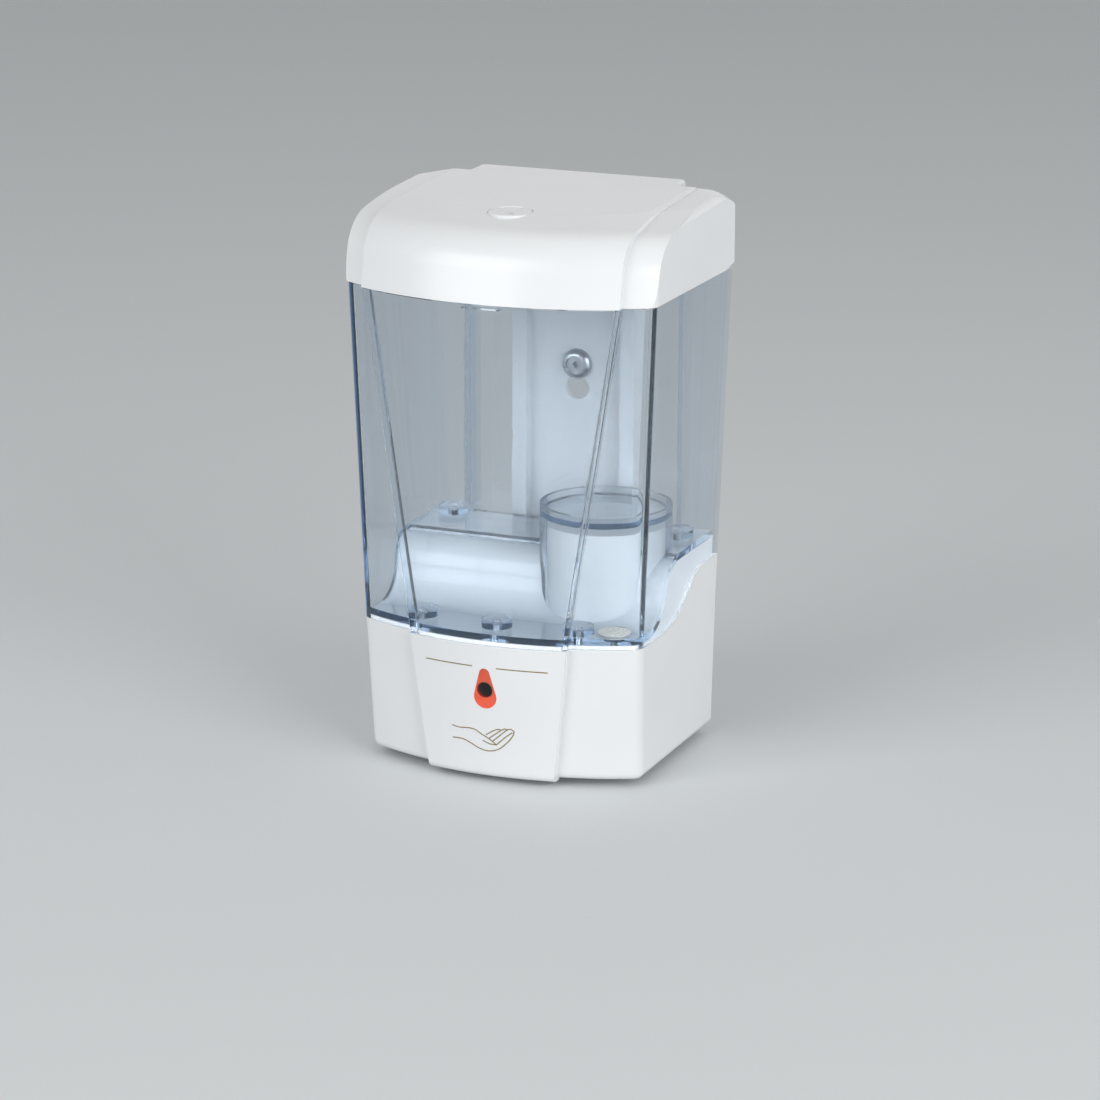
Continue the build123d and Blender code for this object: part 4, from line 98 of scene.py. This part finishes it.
# Looks: darker tone, lighter tone, range of roughness
PLAIN_LOOKS = {
    "black_plastic": ((0.012, 0.012, 0.014), (0.022, 0.022, 0.025), (0.3, 0.45)),
    "grey_plastic": ((0.22, 0.225, 0.235), (0.28, 0.285, 0.295), (0.4, 0.52)),
    "natural_plastic": ((0.66, 0.65, 0.60), (0.72, 0.71, 0.66), (0.35, 0.48)),
    "steel": ((0.50, 0.51, 0.53), (0.60, 0.61, 0.63), (0.18, 0.34)),
    "nickel": ((0.60, 0.59, 0.56), (0.68, 0.67, 0.64), (0.15, 0.28)),
    "silicone": ((0.60, 0.62, 0.64), (0.68, 0.70, 0.72), (0.45, 0.58)),
    "dark_rubber": ((0.018, 0.018, 0.02), (0.03, 0.03, 0.033), (0.6, 0.75)),
    "board": ((0.015, 0.085, 0.035), (0.025, 0.115, 0.05), (0.35, 0.5)),
    "lamp": ((0.80, 0.42, 0.30), (0.86, 0.48, 0.35), (0.1, 0.2)),
    "cell_sleeve": ((0.02, 0.03, 0.055), (0.035, 0.045, 0.075), (0.2, 0.32)),
    "magnet": ((0.02, 0.02, 0.02), (0.035, 0.035, 0.035), (0.55, 0.7)),
    "iron": ((0.14, 0.135, 0.13), (0.2, 0.195, 0.19), (0.4, 0.55)),
}
METALS = ("steel", "nickel", "iron")
WHITE_LOOK = ((0.785, 0.80, 0.815), (0.81, 0.825, 0.835), (0.255, 0.27))
TANK_LOOK = ((0.952, 0.960, 0.966), (0.962, 0.970, 0.976), (0.012, 0.03))
WINDOW_LOOK = ((0.90, 0.15, 0.075), (0.94, 0.19, 0.10), (0.05, 0.12))
HOLDER_LOOK = ((0.84, 0.80, 0.77), (0.88, 0.84, 0.81), (0.3, 0.42))
PRINT_LOOK = ((0.26, 0.195, 0.085), (0.36, 0.275, 0.125), (0.32, 0.5))

# Light through tank and window, and the window's clearness outside and inside its painted dark spot
TANK_TINT = (0.82, 0.81, 0.795)
TANK_DEPTH_COLOUR = (0.22, 0.50, 0.78)
TANK_DEPTH_DENSITY = 38.0
WINDOW_TINT = (1.0, 0.55, 0.42)
WINDOW_CLEAR = (0.4, 1.0)
# Colour of the painted dark spot, standing in for the dark eye seen through the window
PAINTED_SPOT_COLOUR = (0.05, 0.008, 0.006)

# Sensor window, its eye and its lamp, placed by the frame
window_low, window_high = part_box("sensor_window")
eye_low, eye_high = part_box("infrared_eye")
lamp_low, lamp_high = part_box("indicator_lamp")
WINDOW_TIP = 1.9 * MM
# Painted dark spot over the eye: its radius, soft edge and lift
SPOT_RADIUS = 2.9 * MM
SPOT_EDGE = 0.15 * MM
SPOT_LIFT = 0.3 * MM

# Holder behind the window
HOLDER_BEFORE_EYE = 0.68 * MM
HOLDER_BEHIND_WINDOW = 0.065 * MM
HOLDER_GROW = 0.25 * MM
HOLDER_WALL = 0.4 * MM
HOLDER_LIP = 0.15 * MM
HOLDER_STEPS = 24

# Gold print on the base panel, drawn by (x, z) points in millimetres
PRINT_WIDTH = 0.42 * MM
PRINT_RAISE = 0.05 * MM
PRINT_SINK = 0.01 * MM
PRINT_STEPS = 14
PRINT_FROM_Y = -0.2
HAND_STROKES = [
    [(-13.6, -37.3), (-9.6, -37.3), (-6.4, -38.4), (-3.0, -40.0), (0.8, -40.6),
     (4.6, -39.4), (8.0, -36.4), (10.0, -33.8), (10.5, -32.2), (9.8, -31.5)],
    [(-13.6, -32.6), (-10.4, -33.0), (-6.6, -32.7), (-4.2, -33.1), (-2.0, -34.4),
     (0.8, -35.8), (3.7, -37.9)],
    [(-1.6, -36.8), (1.2, -37.8), (3.7, -37.9)],
    [(-0.2, -34.5), (2.2, -32.9), (4.2, -31.9), (5.4, -31.9)],
    [(1.0, -35.6), (3.7, -33.6), (5.8, -32.0), (7.2, -31.4), (7.9, -31.7)],
    [(2.3, -36.7), (5.4, -33.9), (8.0, -31.7), (9.2, -31.3), (9.8, -31.5)],
    [(3.7, -37.9), (7.0, -34.8), (9.9, -32.5)],
]
RULE_HALF = 23.5
RULE_GAP = 4.6
RULE_Z = -8.6
RULE_STROKES = [
    [(-RULE_HALF, RULE_Z), (-RULE_GAP, RULE_Z)],
    [(RULE_GAP, RULE_Z), (RULE_HALF, RULE_Z)],
]

# Sockets of the colour mix node, which share their names with others
MIX_FACTOR = 0
MIX_FIRST = 6
MIX_SECOND = 7
MIX_RESULT = 2


# Shader nodes
def new_material(name):
    """A node material, its tree and its main shader."""
    material = bpy.data.materials.new(name)
    material.use_nodes = True
    tree = material.node_tree
    return material, tree, tree.nodes["Principled BSDF"]


def set_inputs(node, values):
    """Sets inputs of a node by their names."""
    for name, value in values.items():
        node.inputs[name].default_value = value


def add_node(tree, kind, values):
    """A new node with some of its inputs set."""
    node = tree.nodes.new(kind)
    set_inputs(node, values)
    return node


def add_noise(tree, scale):
    """Noise over the object's own coordinates."""
    place = tree.nodes.new("ShaderNodeTexCoord")
    noise = add_node(tree, "ShaderNodeTexNoise", {"Scale": scale, "Detail": 1.0, "Roughness": 0.5})
    tree.links.new(place.outputs["Object"], noise.inputs["Vector"])
    return noise.outputs["Fac"]


def map_range(tree, value, source, result):
    """Carries a value from one range to another."""
    span = add_node(tree, "ShaderNodeMapRange", {
        "From Min": source[0],
        "From Max": source[1],
        "To Min": result[0],
        "To Max": result[1],
    })
    tree.links.new(value, span.inputs["Value"])
    return span.outputs["Result"]


def noise_colour(tree, noise, low, high):
    """Colour that wanders between two tones with the noise."""
    ramp = tree.nodes.new("ShaderNodeValToRGB")
    for stop, position, tone in zip(ramp.color_ramp.elements, NOISE_RANGE, (low, high)):
        stop.position = position
        stop.color = (*tone, 1.0)
    tree.links.new(noise, ramp.inputs["Fac"])
    return ramp.outputs["Color"]


def vary_surface(tree, shader, noise, low, high, rough):
    """Lets tone and roughness wander with the noise."""
    tree.links.new(noise_colour(tree, noise, low, high), shader.inputs["Base Color"])
    tree.links.new(map_range(tree, noise, NOISE_RANGE, rough), shader.inputs["Roughness"])


def mix_shaders(tree, factor, usual, instead):
    """One shader where the factor is 0 and another where it is 1."""
    mix = tree.nodes.new("ShaderNodeMixShader")
    tree.links.new(factor, mix.inputs["Fac"])
    tree.links.new(usual, mix.inputs[1])
    tree.links.new(instead, mix.inputs[2])
    return mix.outputs["Shader"]


def let_light_in(tree, shader, tint):
    """Lets lamps shine through a clear wall with a tint, so that what it shuts in is lit."""
    ray = tree.nodes.new("ShaderNodeLightPath")
    veil = add_node(tree, "ShaderNodeBsdfTransparent", {"Color": (*tint, 1.0)})
    mixed = mix_shaders(tree, ray.outputs["Is Shadow Ray"], shader.outputs["BSDF"], veil.outputs["BSDF"])
    tree.links.new(mixed, tree.nodes["Material Output"].inputs["Surface"])


def round_patch(tree, x, z, radius, edge):
    """Mask that is 1 inside a circle in the panel's plane and 0 outside it."""
    place = tree.nodes.new("ShaderNodeTexCoord")
    flat = tree.nodes.new("ShaderNodeVectorMath")
    flat.operation = "MULTIPLY"
    flat.inputs[1].default_value = (1.0, 0.0, 1.0)
    far = tree.nodes.new("ShaderNodeVectorMath")
    far.operation = "DISTANCE"
    far.inputs[1].default_value = (x, 0.0, z)
    tree.links.new(place.outputs["Object"], flat.inputs[0])
    tree.links.new(flat.outputs["Vector"], far.inputs[0])
    return map_range(tree, far.outputs["Value"], (radius + edge, radius - edge), MASK_RANGE)


# Materials
def moulded(name, low, high, rough, bump=0.05, grain=FINE_GRAIN, metal=0.0):
    """Moulded or rolled surface with slight changes of tone, gloss and relief."""
    material, tree, shader = new_material(name)
    set_inputs(shader, {"Metallic": metal})
    vary_surface(tree, shader, add_noise(tree, BROAD_GRAIN), low, high, rough)
    relief = add_node(tree, "ShaderNodeBump", {"Strength": bump, "Distance": RELIEF_DEPTH})
    tree.links.new(add_noise(tree, grain), relief.inputs["Height"])
    tree.links.new(relief.outputs["Normal"], shader.inputs["Normal"])
    return material


def white_plastic():
    """Glossy white moulding with a clear skin."""
    material = moulded("white_plastic", *WHITE_LOOK, bump=0.02, grain=WHITE_GRAIN)
    shader = material.node_tree.nodes["Principled BSDF"]
    set_inputs(shader, {"Coat Weight": 0.1, "Coat Roughness": 0.12})
    return material


def clear_plastic():
    """Clear tank wall, tinted blue by its depth."""
    material, tree, shader = new_material("clear_plastic")
    set_inputs(shader, {"Transmission Weight": 1.0, "IOR": 1.27, "Alpha": 0.95})
    let_light_in(tree, shader, TANK_TINT)
    vary_surface(tree, shader, add_noise(tree, TANK_GRAIN), *TANK_LOOK)
    depth = add_node(tree, "ShaderNodeVolumeAbsorption", {
        "Color": (*TANK_DEPTH_COLOUR, 1.0),
        "Density": TANK_DEPTH_DENSITY,
    })
    tree.links.new(depth.outputs["Volume"], tree.nodes["Material Output"].inputs["Volume"])
    return material


def red_window():
    """Milky red filter with a painted dark spot in front of the eye, clearer there, standing in for the
    dark eye seen through it.
    """
    material, tree, shader = new_material("red_window")
    set_inputs(shader, {"IOR": 1.49})
    let_light_in(tree, shader, WINDOW_TINT)
    low, high, rough = WINDOW_LOOK
    noise = add_noise(tree, WINDOW_GRAIN)
    red = noise_colour(tree, noise, low, high)
    gloss = map_range(tree, noise, NOISE_RANGE, rough)
    spot_z = (eye_low.z + eye_high.z) / 2 + SPOT_LIFT
    spot = round_patch(tree, 0.0, spot_z, SPOT_RADIUS, SPOT_EDGE)
    clear = map_range(tree, spot, MASK_RANGE, WINDOW_CLEAR)
    # Paints the dark spot over the eye into the window's colour
    tone = tree.nodes.new("ShaderNodeMix")
    tone.data_type = "RGBA"
    tone.inputs[MIX_SECOND].default_value = (*PAINTED_SPOT_COLOUR, 1.0)
    tree.links.new(spot, tone.inputs[MIX_FACTOR])
    tree.links.new(red, tone.inputs[MIX_FIRST])
    tree.links.new(tone.outputs[MIX_RESULT], shader.inputs["Base Color"])
    tree.links.new(gloss, shader.inputs["Roughness"])
    tree.links.new(clear, shader.inputs["Transmission Weight"])
    return material


def gold_print():
    """Thin gold ink with an uneven gloss."""
    material, tree, shader = new_material("gold_print")
    set_inputs(shader, {"Metallic": 0.55})
    vary_surface(tree, shader, add_noise(tree, PRINT_GRAIN), *PRINT_LOOK)
    return material


def dress_nodes():
    """Gives each node the look of its material slot."""
    looks = {
        "white_plastic": white_plastic(),
        "clear_plastic": clear_plastic(),
        "red_window": red_window(),
    }
    for slot, look in PLAIN_LOOKS.items():
        looks[slot] = moulded(slot, *look, metal=float(slot in METALS))
    for entry in frame["record"]["subparts"]:
        mesh = nodes[entry["node"]].data
        mesh.materials.clear()
        mesh.materials.append(looks[entry["material_slot"]])


# Objects
def add_object(name, data):
    """A new object in the scene."""
    made = bpy.data.objects.new(name, data)
    bpy.context.scene.collection.objects.link(made)
    return made


def mesh_piece(name, built, material):
    """A piece from a finished bmesh, its faces turned outwards."""
    bmesh.ops.recalc_face_normals(built, faces=built.faces)
    mesh = bpy.data.meshes.new(name)
    built.to_mesh(mesh)
    built.free()
    mesh.materials.append(material)
    return add_object(name, mesh)


# Gold print
def smooth_path(points, steps):
    """Catmull-Rom curve through a few points."""
    with_ends = [points[0], *points, points[-1]]
    path = []
    for i in range(len(points) - 1):
        p0, p1, p2, p3 = [Vector(p) for p in with_ends[i:i + 4]]
        for j in range(steps):
            t = j / steps
            path.append(0.5 * (2 * p1 + (p2 - p0) * t + (2 * p0 - 5 * p1 + 4 * p2 - p3) * t * t
                               + (3 * p1 - p0 - 3 * p2 + p3) * t * t * t))
    path.append(Vector(points[-1]))
    return path


def panel_surface():
    """Search tree of the base housing, to lay print on its front."""
    mesh = bmesh.new()
    mesh.from_mesh(nodes["base_housing"].data)
    surface = BVHTree.FromBMesh(mesh)
    mesh.free()
    return surface


def lay_stroke(target, surface, path, width):
    """A raised ribbon along a path of (x, z) points on the panel front."""
    rings = []
    for i, point in enumerate(path):
        ahead = path[min(i + 1, len(path) - 1)] - path[max(i - 1, 0)]
        side = Vector((-ahead.y, ahead.x)).normalized() * width / 2
        ring = []
        for sign in (-1, 1):
            x, z = point + sign * side
            hit = surface.ray_cast(Vector((x, PRINT_FROM_Y, z)), Vector((0, 1, 0)))[0]
            ring.append(target.verts.new(hit + Vector((0, PRINT_SINK, 0))))
            ring.append(target.verts.new(hit - Vector((0, PRINT_RAISE, 0))))
        rings.append(ring)
    for a, b in zip(rings, rings[1:]):
        target.faces.new((a[1], a[3], b[3], b[1]))
        target.faces.new((a[0], b[0], b[2], a[2]))
        target.faces.new((a[0], a[1], b[1], b[0]))
        target.faces.new((a[2], b[2], b[3], a[3]))
    first, last = rings[0], rings[-1]
    target.faces.new((first[0], first[2], first[3], first[1]))
    target.faces.new((last[0], last[1], last[3], last[2]))


def print_piece(name, strokes, surface, ink):
    """One piece of print, made of strokes."""
    built = bmesh.new()
    for stroke in strokes:
        path = smooth_path([(x * MM, z * MM) for x, z in stroke], PRINT_STEPS)
        lay_stroke(built, surface, path, PRINT_WIDTH)
    piece = mesh_piece(name, built, ink)
    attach(piece, "body")


# Pale holder behind the sensor window
def ring_points(x, z, radius, start, stop, steps):
    """Points on an arc in the panel's plane."""
    turns = [start + (stop - start) * i / steps for i in range(steps + 1)]
    return [(x + radius * math.sin(t), z + radius * math.cos(t)) for t in turns]


def drop_points(grow):
    """Outline of the window, drawn outwards by grow."""
    half = (window_high.x - window_low.x) / 2
    wide_z = window_low.z + half
    tip_z = window_high.z - WINDOW_TIP
    lean = math.acos((half - WINDOW_TIP) / (tip_z - wide_z))
    top = ring_points(0, tip_z, WINDOW_TIP + grow, -lean, lean, HOLDER_STEPS)
    low = ring_points(0, wide_z, half + grow, lean, 2 * math.pi - lean, 2 * HOLDER_STEPS)
    return top + low


def hole_points(low, high):
    """Opening in front of a round piece, a lip smaller than the piece."""
    radius = (high.z - low.z) / 2 - HOLDER_LIP
    ring = ring_points(0, (low.z + high.z) / 2, radius, 0, 2 * math.pi, HOLDER_STEPS)
    return ring[:-1]


def edge_loop(target, points, y):
    """Closed loop of edges at depth y."""
    loop = [target.verts.new((x, y, z)) for x, z in points]
    return loop, [target.edges.new((a, b)) for a, b in zip(loop, loop[1:] + loop[:1])]


def window_holder():
    """Shallow cup in the window's shape, open for eye and lamp, that throws light back through it."""
    floor_y = eye_low.y - HOLDER_BEFORE_EYE
    front_y = window_high.y + HOLDER_BEHIND_WINDOW
    built = bmesh.new()
    floor_loop, edges = edge_loop(built, drop_points(HOLDER_GROW), floor_y)
    for low, high in ((eye_low, eye_high), (lamp_low, lamp_high)):
        edges += edge_loop(built, hole_points(low, high), floor_y)[1]
    bmesh.ops.triangle_fill(built, use_beauty=True, edges=edges)
    front_loop = edge_loop(built, drop_points(HOLDER_GROW), front_y)[0]
    for i, corner in enumerate(floor_loop):
        after = (i + 1) % len(floor_loop)
        built.faces.new((corner, floor_loop[after], front_loop[after], front_loop[i]))
    piece = mesh_piece("window_holder", built, moulded("window_holder", *HOLDER_LOOK))
    solid = piece.modifiers.new("thickness", "SOLIDIFY")
    solid.thickness = HOLDER_WALL
    solid.offset = -1.0
    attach(piece, "body")


# Floor, light and camera
def floor_plane(level):
    """Plain pale floor under the object."""
    half = FLOOR_SIZE / 2
    corners = [(-half, -half, level), (half, -half, level), (half, half, level), (-half, half, level)]
    mesh = bpy.data.meshes.new("floor")
    mesh.from_pydata(corners, [], [(0, 1, 2, 3)])
    material, tree, shader = new_material("floor")
    lighter = [c + FLOOR_CHANGE for c in FLOOR_COLOUR]
    colour = noise_colour(tree, add_noise(tree, FLOOR_GRAIN), FLOOR_COLOUR, lighter)
    tree.links.new(colour, shader.inputs["Base Color"])
    set_inputs(shader, {"Roughness": FLOOR_ROUGH})
    mesh.materials.append(material)
    floor = add_object("floor", mesh)


def soft_lamp(name, place, size, power, aim):
    """Large square lamp aimed at a point."""
    light = bpy.data.lights.new(name, "AREA")
    light.shape = "SQUARE"
    light.size = size
    light.energy = power
    lamp = add_object(name, light)
    lamp.location = place
    lamp.rotation_mode = "QUATERNION"
    lamp.rotation_quaternion = (aim - Vector(place)).to_track_quat("-Z", "Y")


def either(tree, first, second):
    """Value that is 1 where one of two values is 1."""
    larger = tree.nodes.new("ShaderNodeMath")
    larger.operation = "MAXIMUM"
    tree.links.new(first, larger.inputs[0])
    tree.links.new(second, larger.inputs[1])
    return larger.outputs["Value"]


def sky():
    """Pale surroundings, brighter to the eye than as a light."""
    world = bpy.data.worlds.new("sky")
    world.use_nodes = True
    tree = world.node_tree
    tree.nodes.clear()
    output = tree.nodes.new("ShaderNodeOutputWorld")
    seen = add_node(tree, "ShaderNodeBackground", {"Color": (*SKY_COLOUR, 1.0)})
    lit = add_node(tree, "ShaderNodeBackground", {"Color": (*SKY_COLOUR, 1.0), "Strength": SKY_LIGHT})
    ray = tree.nodes.new("ShaderNodeLightPath")
    shown = either(tree, ray.outputs["Is Camera Ray"], ray.outputs["Is Glossy Ray"])
    shown = either(tree, shown, ray.outputs["Is Transmission Ray"])
    mixed = mix_shaders(tree, shown, lit.outputs["Background"], seen.outputs["Background"])
    tree.links.new(mixed, output.inputs["Surface"])
    bpy.context.scene.world = world


def camera():
    """Camera at the photograph's angle."""
    data = bpy.data.cameras.new("camera")
    data.sensor_width = SENSOR
    data.lens = LENS
    data.clip_start = CLIP_NEAR
    data.clip_end = CLIP_FAR
    eye = add_object("camera", data)
    turn = (TARGET - EYE).to_track_quat("-Z", "Y").to_matrix().to_4x4()
    eye.matrix_world = Matrix.Translation(EYE) @ turn @ Matrix.Rotation(ROLL, 4, "Z")
    bpy.context.scene.camera = eye


# Dressed object
dress_nodes()
panel = panel_surface()
gold = gold_print()
print_piece("hand_print", HAND_STROKES, panel, gold)
print_piece("rule_print", RULE_STROKES, panel, gold)
window_holder()

# Stage
floor_plane(start_bounds[0].z - FLOOR_DROP)
centre = (start_bounds[0] + start_bounds[1]) / 2
for name, (place, size, power) in LAMPS.items():
    soft_lamp(name, place, size, power, aim=centre)
sky()
camera()
bpy.context.scene.view_settings.view_transform = "Standard"
